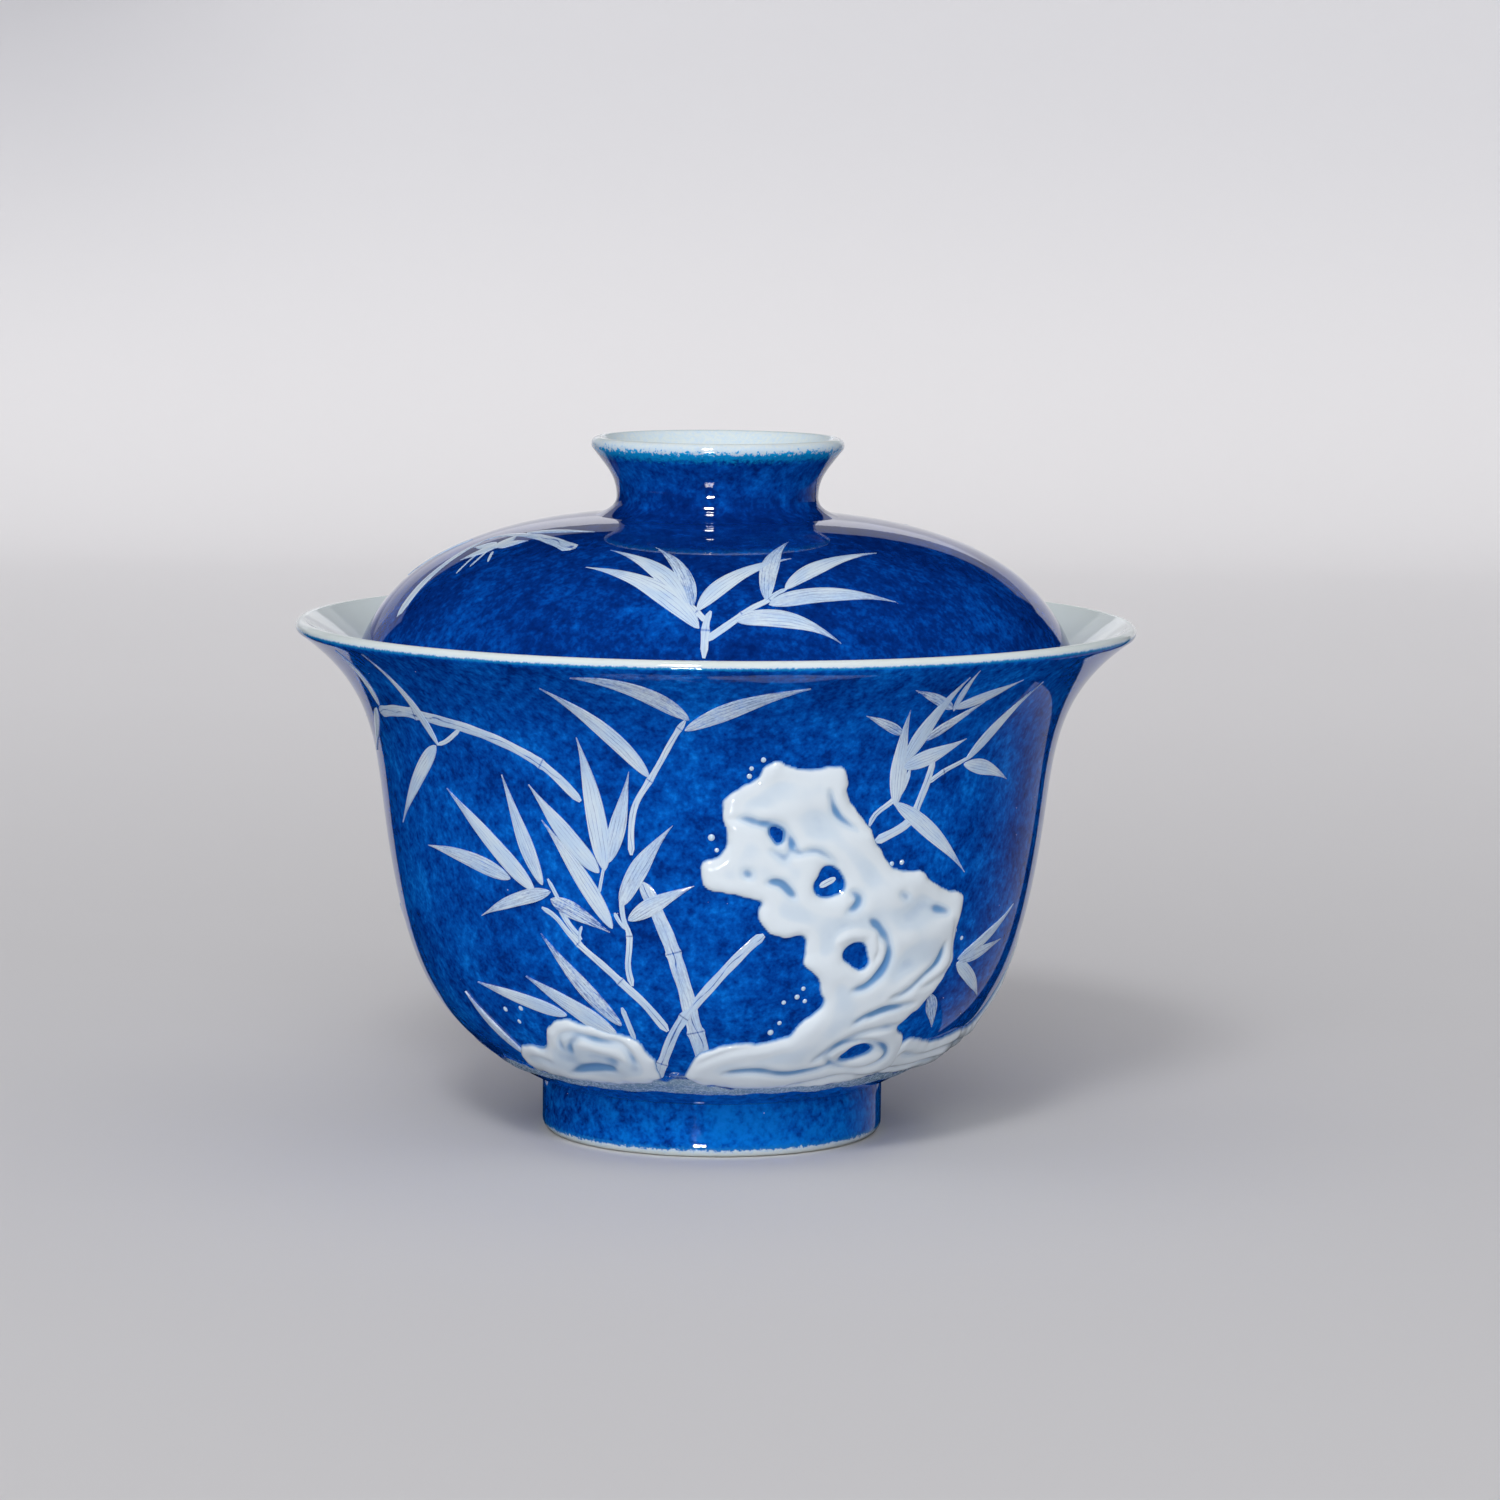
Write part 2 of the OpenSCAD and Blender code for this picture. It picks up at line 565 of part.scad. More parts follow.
// The left spray is a long arching stroke with a blossom under it
lid_left_strokes = [
    [-70, 2.2, 0.9, [[2, 43.8], [1.1, 42.2], [0.2, 39.9], [-0.6, 37.4], [-2, 34], [-3.2, 31]]],
    [-70, 0.9, 2.2, [[-3.2, 31], [-2.6, 29.2], [0.5, 27.9], [5, 26.8], [9, 26.2], [13, 25.7], [16.4, 25.2]]],
    [-70, 0.4, 0.3, [[3.9, 32.6], [5.4, 34], [6.7, 35.8]]],
    [-70, 0.4, 0.3, [[2.6, 33], [4.2, 35], [6, 37.4]]],
    [-70, 0.4, 0.3, [[5.6, 32.4], [7, 33.2], [8.6, 34]]]
];
lid_left_leaves = [
    [-62.5, 31.5, 118, 4.2, 2.3], [-61.5, 31.2, 42, 3.6, 2.1], [-63.5, 32, -120, 4.2, 2.2],
    [-66, 31.5, -160, 3.6, 1.9],
    [-87.5, 32.5, -110, 8.4, 1.6], [-64.5, 26.5, 28, 10.5, 1.2]
];
lid_back_strokes = [
    [130, 1, 0.6, [[-1, 44.5], [0, 41], [-1, 37], [-4, 33]]],
    [215, 1, 0.6, [[1, 44.5], [0, 40], [2, 36], [5, 32]]]
];
lid_back_leaves = [
    [128, 37, 60, 12, 1.9], [124, 33.5, 130, 11, 1.8], [122, 34, 170, 13, 2], [131, 40, 25, 13, 1.9],
    [129, 39, 150, 14, 1.8], [217, 38, 130, 13, 2], [220, 34, 60, 10, 1.8], [224, 33, 20, 12, 1.9],
    [213, 41, 165, 14, 1.9], [216, 40, 35, 13, 1.7]
];
module bamboo_on_lid(strokes, leaves) {
    color([0.86, 0.91, 0.97])
        intersection() {
            dome_skin(slip_t);
            translate([0, 0, lid_edge_z])
                linear_extrude(dome_h + prism_over)
                    scale(art_lid_k) {
                        lid_strokes(strokes);
                        lid_leaves(leaves);
                    }
        }
}
module lid_front_bamboo() { bamboo_on_lid(lid_front_strokes, lid_front_leaves); }
module lid_left_spray() { bamboo_on_lid(lid_left_strokes, lid_left_leaves); }
module lid_back_bamboo() { bamboo_on_lid(lid_back_strokes, lid_back_leaves); }

bowl_wall();
bowl_foot_ring();
ground_band();
scholar_rock();
left_boulder();
side_rock();
back_boulder();
slip_pearls();
front_bamboo();
right_bamboo();
back_bamboo();
lid_dome();
lid_knob_ring();
lid_front_bamboo();
lid_left_spray();
lid_back_bamboo();
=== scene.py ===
"""Looks of a gaiwan: a flared porcelain tea bowl with rocks in relief and brushed bamboo, and its lid.

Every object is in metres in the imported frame, with the origin at the middle of the foot's contact plane,
+Z up and the front at -Y. Sizes in the classes are millimetres, and MM turns them into metres. Azimuths
are degrees from the front, positive towards +X.
"""
from __future__ import annotations

import logging
import math
from abc import ABC, abstractmethod
from dataclasses import dataclass, field
from enum import Enum
from typing import Sequence

import bmesh
import bpy
import numpy as np
from mathutils import Matrix, Vector


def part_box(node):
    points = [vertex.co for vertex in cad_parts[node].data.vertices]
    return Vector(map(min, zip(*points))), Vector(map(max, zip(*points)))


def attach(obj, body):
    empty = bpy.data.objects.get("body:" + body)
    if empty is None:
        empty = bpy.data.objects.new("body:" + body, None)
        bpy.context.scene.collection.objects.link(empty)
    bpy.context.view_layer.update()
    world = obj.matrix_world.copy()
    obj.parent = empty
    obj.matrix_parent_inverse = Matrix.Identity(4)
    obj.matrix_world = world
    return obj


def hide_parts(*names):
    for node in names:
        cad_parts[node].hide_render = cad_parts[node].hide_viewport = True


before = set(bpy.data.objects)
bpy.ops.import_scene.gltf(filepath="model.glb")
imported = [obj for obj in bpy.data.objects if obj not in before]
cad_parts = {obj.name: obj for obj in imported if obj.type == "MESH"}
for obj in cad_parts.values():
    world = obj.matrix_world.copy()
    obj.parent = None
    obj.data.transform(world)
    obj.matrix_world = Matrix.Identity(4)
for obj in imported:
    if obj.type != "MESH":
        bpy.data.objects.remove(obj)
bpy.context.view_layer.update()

MM = 0.001
TINY = 1e-12
ON_AXIS = 1e-6  # radii below this count as the axis
FULL = 9.0  # a run value that is far from any edge of the blue
SEEDS = 50  # brush marks get their seeds between 0 and this
AIM_HEIGHT = 0.07  # height of the place that the lamps face, in metres
LOG = logging.getLogger("gaiwan")
Point = tuple[float, float]
Colour = tuple[float, float, float, float]
Triple = tuple[float, float, float]
Face = tuple[int, ...]
Socket = bpy.types.NodeSocket
Input = Socket | float | Sequence[float]


class Body(str, Enum):
    """The two loose pieces of the gaiwan."""

    BOWL = "bowl"
    LID = "lid"


class Slot(str, Enum):
    """The record's material slots that the visible pieces use."""

    BLUE = "blue_glaze"
    ROCK = "rock_slip"
    BRUSHED = "brushed_slip"
    SANDY = "sandy_slip"


# ---------------------------------------------------------------- curves
def bezier(points: Sequence[Point], steps: int) -> np.ndarray:
    """Points of a cubic curve.

    Args:
        points: its four control points.
        steps: how many segments it gets.

    Returns:
        An array of steps + 1 points.
    """
    p = np.array(points, float)
    t = np.linspace(0.0, 1.0, steps + 1)[:, None]
    return (1 - t) ** 3 * p[0] + 3 * (1 - t) ** 2 * t * p[1] + 3 * (1 - t) * t * t * p[2] + t ** 3 * p[3]


def arc(centre: Point, radius: float, start: float, end: float, steps: int) -> np.ndarray:
    """Points of an arc, its ends left out.

    Args:
        centre: middle of the arc.
        radius: its radius.
        start: first angle in degrees.
        end: last angle in degrees.
        steps: how many segments it gets.

    Returns:
        An array of steps - 1 points.
    """
    a = np.radians(np.linspace(start, end, steps + 1)[1:-1])
    return np.column_stack([centre[0] + radius * np.cos(a), centre[1] + radius * np.sin(a)])


def normals_of(path: np.ndarray) -> np.ndarray:
    """Left-hand unit normals of a path."""
    d = np.gradient(path, axis=0)
    d /= np.linalg.norm(d, axis=1)[:, None]
    return np.column_stack([-d[:, 1], d[:, 0]])


def offset(path: np.ndarray, start: float, end: float) -> np.ndarray:
    """The path moved to its left, by start at its first point and by end at its last."""
    return path + np.linspace(start, end, len(path))[:, None] * normals_of(path)


def lengths_along(path: np.ndarray) -> np.ndarray:
    """How far along the path each of its points lies."""
    return np.concatenate([[0.0], np.cumsum(np.linalg.norm(np.diff(path, axis=0), axis=1))])


def below_top(path: np.ndarray, margin: float) -> np.ndarray:
    """How far down its outside a wall's points lie from its top, less a margin, and -1 on the inside."""
    along = lengths_along(path)
    top = int(np.argmax(path[:, 1]))
    return np.where(np.arange(len(path)) <= top, along[top] - along - margin, -1.0)


def mix(a: float, b: float, share: float) -> float:
    """The value a share of the way from a to b."""
    return a + (b - a) * share


def round_lip(radius: float, height: float, thick: float, angle: float) -> tuple[np.ndarray, np.ndarray]:
    """Where a wall's round lip lies.

    Args:
        radius: outer radius of the lip.
        height: its top.
        thick: its thickness.
        angle: direction in degrees in which the outer wall meets it.

    Returns:
        Its middle, and the point where the outer wall meets it.
    """
    turn = math.radians(angle)
    centre = np.array([radius - thick / 2, height - thick / 2])
    return centre, centre + thick / 2 * np.array([math.cos(turn), math.sin(turn)])


def rounded(path: np.ndarray, times: int, closed: bool) -> np.ndarray:
    """Cuts a path's corners, so that it runs as a soft curve.

    Args:
        path: its points.
        times: how often the corners are cut.
        closed: whether the last point joins the first.

    Returns:
        The softer path.
    """
    for _ in range(times):
        ahead = np.roll(path, -1, axis=0) if closed else path[1:]
        here = path if closed else path[:-1]
        cut = np.empty((2 * len(here), 2))
        cut[0::2] = 0.75 * here + 0.25 * ahead
        cut[1::2] = 0.25 * here + 0.75 * ahead
        path = cut if closed else np.vstack([path[:1], cut, path[-1:]])
    return path


def nearest_on(path: np.ndarray, points: np.ndarray, closed: bool = False) -> tuple[np.ndarray, np.ndarray]:
    """Where on a path each point's nearest place is.

    Args:
        path: the path's points.
        points: the points that are looked at.
        closed: whether the last point joins the first.

    Returns:
        The distance of each point, and how far along the path its nearest place is, as a share.
    """
    starts = path if closed else path[:-1]
    ends = np.roll(path, -1, axis=0) if closed else path[1:]
    best = np.full(len(points), np.inf)
    share = np.zeros(len(points))
    for i, (a, b) in enumerate(zip(starts, ends)):
        d = b - a
        t = np.clip(((points - a) @ d) / max(d @ d, TINY), 0.0, 1.0)
        away = np.linalg.norm(points - a - t[:, None] * d, axis=1)
        share = np.where(away < best, (i + t) / len(starts), share)
        best = np.minimum(best, away)
    return best, share


def inside(path: np.ndarray, points: np.ndarray) -> np.ndarray:
    """Whether each point lies inside a closed path."""
    found = np.zeros(len(points), bool)
    for a, b in zip(path, np.roll(path, -1, axis=0)):
        crosses = (a[1] > points[:, 1]) != (b[1] > points[:, 1])
        rise = b[1] - a[1] if abs(b[1] - a[1]) > TINY else TINY
        found ^= crosses & (points[:, 0] < a[0] + (points[:, 1] - a[1]) * (b[0] - a[0]) / rise)
    return found


def smoothstep(low: float, high: float, value: np.ndarray) -> np.ndarray:
    """0 below low, 1 above high and a soft S between."""
    t = np.clip((value - low) / (high - low), 0.0, 1.0)
    return t * t * (3 - 2 * t)


def soft_noise(points: np.ndarray, wave: float, seed: int, waves: int = 10) -> np.ndarray:
    """A smooth, seeded waviness between about -1 and 1.

    Args:
        points: where it is wanted, one row each.
        wave: typical wavelength.
        seed: picks the pattern.
        waves: how many sine waves are added.

    Returns:
        One value for each point.
    """
    rng = np.random.default_rng(seed)
    total = np.zeros(len(points))
    for _ in range(waves):
        direction = rng.normal(size=points.shape[1])
        direction /= np.linalg.norm(direction)
        k = 2 * math.pi / (wave * rng.uniform(0.6, 1.6))
        total += np.sin(points @ direction * k + rng.uniform(0, 2 * math.pi))
    return total / math.sqrt(waves / 2) / 1.4


# ---------------------------------------------------------------- meshes
def add_object(name: str, data: bpy.types.ID) -> bpy.types.Object:
    """Adds an object that shows this data."""
    made = bpy.data.objects.new(name, data)
    bpy.context.scene.collection.objects.link(made)
    return made


@dataclass
class MeshParts:
    """Vertices, faces and named values of a mesh that is being put together, in millimetres."""

    places: list[np.ndarray] = field(default_factory=list)
    faces: list[Face] = field(default_factory=list)
    values: dict[str, list[np.ndarray]] = field(default_factory=dict)
    count: int = 0

    def add(self, places: np.ndarray, faces: Sequence[Face], values: dict[str, np.ndarray]) -> None:
        """Adds one closed shell.

        Args:
            places: its vertices.
            faces: its faces, counted from its own first vertex.
            values: one array for each named value.
        """
        self.places.append(places)
        self.faces.extend(tuple(i + self.count for i in f) for f in faces)
        for name, value in values.items():
            self.values.setdefault(name, []).append(value)
        self.count += len(places)

    def finished(self, name: str, crease: float = 45.0) -> bpy.types.Object:
        """Makes the object.

        Args:
            name: its name.
            crease: edges that turn more than this many degrees stay sharp.

        Returns:
            The new object, with its normals facing out.
        """
        mesh = bpy.data.meshes.new(name)
        mesh.from_pydata((np.vstack(self.places) * MM).tolist(), [], self.faces)
        for key, arrays in self.values.items():
            value = np.concatenate(arrays)
            kind = "FLOAT_VECTOR" if value.ndim == 2 else "FLOAT"
            layer = mesh.attributes.new(key, kind, "POINT")
            column = "vector" if value.ndim == 2 else "value"
            layer.data.foreach_set(column, value.astype(np.float32).ravel())
        work = bmesh.new()
        work.from_mesh(mesh)
        bmesh.ops.recalc_face_normals(work, faces=work.faces)
        work.to_mesh(mesh)
        work.free()
        mesh.shade_smooth()
        mesh.set_sharp_from_angle(angle=math.radians(crease))
        return add_object(name, mesh)


def turned(name: str, path: np.ndarray, values: dict[str, np.ndarray],
           segments: int = 288) -> bpy.types.Object:
    """Turns an outline round the axis into a closed shell.

    Args:
        name: the object's name.
        path: points of radius and height. A path that doesn't touch the axis is a closed loop.
        values: one value for each point of the path.
        segments: how many steps go round.

    Returns:
        The new object.
    """
    angle = np.linspace(0.0, 2 * math.pi, segments, endpoint=False)
    places: list[np.ndarray] = []
    rings: list[list[int]] = []
    owner: list[int] = []
    count = 0
    for i, (radius, height) in enumerate(path):
        steps = 1 if radius < ON_AXIS else segments
        a = angle[:steps]
        places.append(np.column_stack([radius * np.sin(a), -radius * np.cos(a), np.full(steps, height)]))
        rings.append([count + k % steps for k in range(segments)])
        owner.extend([i] * steps)
        count += steps
    pairs = list(zip(rings[:-1], rings[1:]))
    if path[0][0] > ON_AXIS:
        pairs.append((rings[-1], rings[0]))
    faces: list[Face] = []
    for low, high in pairs:
        for k in range(segments):
            n = (k + 1) % segments
            corners = (low[k], low[n], high[n], high[k])
            faces.append(tuple(dict.fromkeys(corners)))
    parts = MeshParts()
    parts.add(np.vstack(places), faces, {key: value[owner] for key, value in values.items()})
    return parts.finished(name)


def grid_faces(rows: int, columns: int, around: bool = False) -> list[Face]:
    """The faces of a grid of points, row by row.

    Args:
        rows: how many rows of points it has.
        columns: how many points are in each row.
        around: whether the last row joins the first.

    Returns:
        A four-sided face for each cell.
    """
    total = rows * columns
    faces: list[Face] = []
    for r in range(rows if around else rows - 1):
        for a in range(r * columns, (r + 1) * columns - 1):
            faces.append((a, a + 1, (a + columns + 1) % total, (a + columns) % total))
    return faces


def add_shell(parts: MeshParts, top: np.ndarray, under: np.ndarray, faces: Sequence[Face],
              values: dict[str, np.ndarray]) -> None:
    """Adds a thin closed shell: a top, the same surface under it, and walls round all of its edges.

    Args:
        parts: the mesh that it joins.
        top: vertices of the top.
        under: the same vertices on the underside.
        faces: the faces of the top.
        values: one array for each named value of the top's vertices.
    """
    count = len(top)
    sides = [(f[k - 1], f[k]) for f in faces for k in range(len(f))]
    inner = set(sides)
    closed = list(faces)
    closed += [tuple(count + i for i in reversed(f)) for f in faces]
    closed += [(b, a, count + a, count + b) for a, b in sides if (b, a) not in inner]
    both = {key: np.concatenate([value, value]) for key, value in values.items()}
    parts.add(np.vstack([top, under]), closed, both)


# ---------------------------------------------------------------- skins that the decoration lies on
class Skin(ABC):
    """An outer surface, on which a drawing is placed."""

    @abstractmethod
    def place(self, azimuth: float, across: np.ndarray, up: np.ndarray, lift: np.ndarray) -> np.ndarray:
        """Points of a drawing on this surface.

        Args:
            azimuth: the direction that the drawing is seen from, in degrees.
            across: how far to the right each point lies.
            up: its height on the bowl, or its distance out from the axis on the lid.
            lift: how far it stands above the surface.

        Returns:
            An array of the same shape, with three numbers for each point.
        """


@dataclass
class Outline:
    """The outer outline of a turned piece, as radius and height along it."""

    path: np.ndarray

    def __post_init__(self) -> None:
        """Works out the directions that the outline faces."""
        faces_out = -normals_of(self.path)
        self.facing = faces_out if faces_out[:, 0].sum() > 0 else -faces_out

    def at(self, column: int, where: np.ndarray) -> tuple[np.ndarray, np.ndarray, np.ndarray]:
        """Looks the outline up.

        Args:
            column: 0 to look it up by radius, or 1 by height.
            where: the radii or heights.

        Returns:
            The other coordinate, and the two parts of the outward direction.
        """
        order = np.argsort(self.path[:, column])
        key = self.path[order, column]
        out, rise = (np.interp(where, key, self.facing[order, part]) for part in (0, 1))
        return np.interp(where, key, self.path[order, 1 - column]), out, rise


@dataclass
class BowlSkin(Skin):
    """The outside of the bowl. Drawings are elevations, across and up."""

    outline: Outline

    def place(self, azimuth: float, across: np.ndarray, up: np.ndarray, lift: np.ndarray) -> np.ndarray:
        """Points of an elevation drawing on the side of the bowl, as Skin.place says."""
        radius, out, rise = self.outline.at(1, up)
        angle = math.radians(azimuth) + np.arcsin(np.clip(across / radius, -0.999, 0.999))
        r = radius + lift * out
        return np.stack([r * np.sin(angle), -r * np.cos(angle), up + lift * rise], axis=-1)


@dataclass
class LidSkin(Skin):
    """The top of the dome. Drawings are plans, across and out from the axis."""

    outline: Outline

    def place(self, azimuth: float, across: np.ndarray, up: np.ndarray, lift: np.ndarray) -> np.ndarray:
        """Points of a plan drawing on the dome, as Skin.place says."""
        radius = np.hypot(across, up)
        height, out, rise = self.outline.at(0, radius)
        angle = math.radians(azimuth) + np.arctan2(across, up)
        r = radius + lift * out
        return np.stack([r * np.sin(angle), -r * np.cos(angle), height + lift * rise], axis=-1)


# ---------------------------------------------------------------- finishes
@dataclass(frozen=True)
class Value:
    """A number in a material. A sum or a product with it adds the node that works it out."""

    sheet: Sheet
    socket: Socket

    def __add__(self, other: Value | float) -> Value:
        """This and the other added up."""
        return self.sheet.math("ADD", self, other)

    def __sub__(self, other: Value | float) -> Value:
        """This less the other."""
        return self.sheet.math("SUBTRACT", self, other)

    def __rsub__(self, other: float) -> Value:
        """The other less this."""
        return self.sheet.math("SUBTRACT", other, self)

    def __mul__(self, other: Value | float) -> Value:
        """This times the other."""
        return self.sheet.math("MULTIPLY", self, other)

    def less(self, other: Value) -> Value:
        """This less the other, kept between 0 and 1."""
        return self.sheet.math("SUBTRACT", self, other, True)

    def spread(self, low: float, high: float, start: float = 0.0, end: float = 1.0) -> Value:
        """Maps low to start and high to end, with a soft S between."""
        node = self.sheet.new("MapRange")
        node.interpolation_type = "SMOOTHSTEP"
        self.sheet.feed(node, {
            "Value": self, "From Min": low, "From Max": high, "To Min": start, "To Max": end,
        })
        return Value(self.sheet, node.outputs["Result"])


class Sheet:
    """One material's nodes, added with short calls."""

    def __init__(self, name: str) -> None:
        """Starts an empty material of this name."""
        self.material = bpy.data.materials.new(name)
        self.material.use_nodes = True
        self.tree = self.material.node_tree
        self.tree.nodes.clear()
        self.shader = self.new("BsdfPrincipled")
        self.tree.links.new(self.shader.outputs["BSDF"], self.new("OutputMaterial").inputs["Surface"])

    def new(self, kind: str) -> bpy.types.Node:
        """Adds a node of this kind."""
        return self.tree.nodes.new("ShaderNode" + kind)

    def feed(self, node: bpy.types.Node, inputs: dict[str | int, Input]) -> None:
        """Links or sets inputs of a node.

        Args:
            node: the node.
            inputs: for each input's name or number, a value or socket to link to it, or a constant.
        """
        for key, given in inputs.items():
            source = given.socket if isinstance(given, Value) else given
            if isinstance(source, bpy.types.NodeSocket):
                self.tree.links.new(source, node.inputs[key])
            else:
                node.inputs[key].default_value = source

    def math(self, operation: str, a: Value | float, b: Value | float = 0.0, clamp: bool = False) -> Value:
        """Works out one or two values.

        Args:
            operation: what is done with them.
            a: the first value.
            b: the second value.
            clamp: whether the answer is kept between 0 and 1.

        Returns:
            The answer.
        """
        node = self.new("Math")
        node.operation = operation
        node.use_clamp = clamp
        self.feed(node, {0: a, 1: b})
        return Value(self, node.outputs[0])

    def blend(self, share: Value, a: Socket | Colour, b: Socket | Colour) -> Socket:
        """A colour that goes from a to b as share goes from 0 to 1."""
        node = self.new("Mix")
        node.data_type = "RGBA"
        self.feed(node, {"Factor": share, 6: a, 7: b})
        return node.outputs[2]

    def ramp(self, value: Value, stops: Sequence[tuple[float, Colour]]) -> Socket:
        """A colour looked up from stops of place and colour."""
        node = self.new("ValToRGB")
        points = node.color_ramp.elements
        while len(points) < len(stops):
            points.new(0.5)
        for point, (place, colour) in zip(points, stops):
            point.position = place
            point.color = colour
        self.feed(node, {"Fac": value})
        return node.outputs["Color"]

    def noise(self, vector: Socket, size: float, detail: float = 2.0, rough: float = 0.5) -> Value:
        """Cloudy noise whose clouds are about this many units of the vector across."""
        node = self.new("TexNoise")
        self.feed(node, {"Vector": vector, "Scale": 1.0 / size, "Detail": detail, "Roughness": rough})
        return Value(self, node.outputs["Fac"])

    def drawn_out(self, vector: Socket, factors: Triple, detail: float = 2.0, rough: float = 0.5) -> Value:
        """Noise of a vector whose parts are multiplied by these factors, so that it runs in streaks."""
        return self.noise(self.scaled(vector, factors), 1.0, detail, rough)

    def cells(self, vector: Socket, size: float) -> tuple[Value, Value]:
        """Distance to the nearest of scattered points, and a random value for each of them."""
        node = self.new("TexVoronoi")
        self.feed(node, {"Vector": vector, "Scale": 1.0 / size})
        parts = self.new("SeparateColor")
        self.feed(parts, {0: node.outputs["Color"]})
        return Value(self, node.outputs["Distance"]), Value(self, parts.outputs[0])

    def scaled(self, vector: Socket, factors: Triple) -> Socket:
        """The vector with each of its parts multiplied by its own factor."""
        node = self.new("VectorMath")
        node.operation = "MULTIPLY"
        self.feed(node, {0: vector, 1: factors})
        return node.outputs[0]

    def place(self) -> Socket:
        """The piece's own coordinates in millimetres."""
        return self.scaled(self.new("TexCoord").outputs["Object"], (1 / MM, 1 / MM, 1 / MM))

    def value_of(self, name: str) -> Value:
        """A number that the mesh holds at each point."""
        node = self.new("Attribute")
        node.attribute_name = name
        return Value(self, node.outputs["Fac"])

    def vector_of(self, name: str) -> Socket:
        """Three numbers that the mesh holds at each point."""
        node = self.new("Attribute")
        node.attribute_name = name
        return node.outputs["Vector"]

    def parts_of(self, vector: Socket) -> list[Value]:
        """The three parts of a vector."""
        node = self.new("SeparateXYZ")
        self.feed(node, {0: vector})
        return [Value(self, part) for part in node.outputs]

    def relief(self, height: Value, depth: float, strength: float) -> None:
        """Gives the surface a fine relief this many metres deep."""
        node = self.new("Bump")
        self.feed(node, {"Height": height, "Distance": depth, "Strength": strength})
        self.feed(self.shader, {"Normal": node.outputs["Normal"]})

    def finished(self, colour: Socket, roughness: Value, level: float = 0.5) -> bpy.types.Material:
        """Colours the surface and makes it shine.

        Args:
            colour: its colour.
            roughness: its roughness.
            level: how much it mirrors face on.

        Returns:
            The material.
        """
        self.feed(self.shader, {
            "Base Color": colour, "Roughness": roughness, "IOR": 1.5, "Specular IOR Level": level,
        })
        return self.material


@dataclass(frozen=True)
class CobaltGround:
    """Blown cobalt blue: clouds of navy and azure, darkened by a piece's painted shade, and pinholes painted
    as glints.
    """

    deep: Colour = (0.0008, 0.018, 0.150, 1.0)
    dark: Colour = (0.0010, 0.034, 0.245, 1.0)
    middle: Colour = (0.0012, 0.068, 0.400, 1.0)
    bright: Colour = (0.0020, 0.122, 0.580, 1.0)
    azure: Colour = (0.0050, 0.210, 0.780, 1.0)
    pinhole_glint: Colour = (0.62, 0.62, 0.78, 1.0)
    cloud: float = 7.5
    fleck: float = 1.35
    grain: float = 0.55
    pinhole_gap: float = 2.3
    wave: float = 2.6

    def colour(self, sheet: Sheet) -> tuple[Socket, Value]:
        """Adds the blue to a material.

        Args:
            sheet: the material.

        Returns:
            The colour, and the fine waviness of its glaze.
        """
        place = sheet.place()
        clouds = sheet.noise(place, self.cloud, 2.0, 0.55)
        flecks = sheet.noise(place, self.fleck, 3.0, 0.62)
        grains = sheet.noise(place, self.grain, 1.0, 0.5)
        # Painted shade: the blue is drawn darker where the piece's shade value is high, near the lid's knob.
        tone = clouds * 0.34 + flecks * 0.46 + grains * 0.20 - sheet.value_of("painted_shade") * 0.12
        blue = sheet.ramp(tone, (
            (0.27, self.deep), (0.39, self.dark), (0.48, self.middle), (0.57, self.bright),
            (0.655, self.azure),
        ))
        # Pinholes: pale lilac dots, partly the white body showing through and partly a painted glint.
        distance, chance = sheet.cells(place, self.pinhole_gap)
        pinhole_glint_dots = distance.spread(0.022, 0.045, 1.0, 0.0) * chance.spread(0.80, 0.86)
        return sheet.blend(pinhole_glint_dots, blue, self.pinhole_glint), sheet.noise(place, self.wave, 1.0, 0.4)


@dataclass(frozen=True)
class Glaze:
    """Glazed porcelain that is cobalt blue where the piece's `run` value is above 0 and white below it.

    Attributes:
        halo: width of the turquoise line where the blue thins out.
        rag: how ragged that line is.
        fleck: size of its ragged flecks.
    """

    name: str
    halo: float = 0.35
    rag: float = 0.25
    fleck: float = 0.5
    white: Colour = (0.74, 0.815, 0.805, 1.0)
    cool: Colour = (0.77, 0.850, 0.870, 1.0)
    thin: Colour = (0.010, 0.235, 0.560, 1.0)
    mist: Colour = (0.560, 0.740, 0.930, 1.0)
    clay: Colour = (0.66, 0.63, 0.58, 1.0)
    bare_rough: float = 0.55
    ground: CobaltGround = CobaltGround()

    def material(self) -> bpy.types.Material:
        """Makes the material."""
        sheet = Sheet(self.name)
        blue, waves = self.ground.colour(sheet)
        place = sheet.place()
        bare = sheet.value_of("bare")
        run = sheet.value_of("run") + (sheet.noise(place, self.fleck, 3.0, 0.7) - 0.5) * (2.0 * self.rag)
        clay = sheet.blend(sheet.noise(place, 0.35, 3.0, 0.7).spread(0.35, 0.7), self.clay, self.white)
        pale = sheet.blend(sheet.noise(place, 14.0).spread(0.20, 0.80), self.white, self.cool)
        pale = sheet.blend(bare, pale, clay)
        pale = sheet.blend(run.spread(-1.1 * self.halo, 0.05, 0.0, 0.75), pale, self.mist)
        colour = sheet.blend(run.spread(-0.12, 0.10), pale, self.thin)
        colour = sheet.blend(run.spread(0.3 * self.halo, 1.3 * self.halo), colour, blue)
        sheet.relief(waves, 0.02 * MM, 0.2)
        return sheet.finished(colour, waves.spread(0.2, 0.8, 0.022, 0.050) + bare * self.bare_rough)


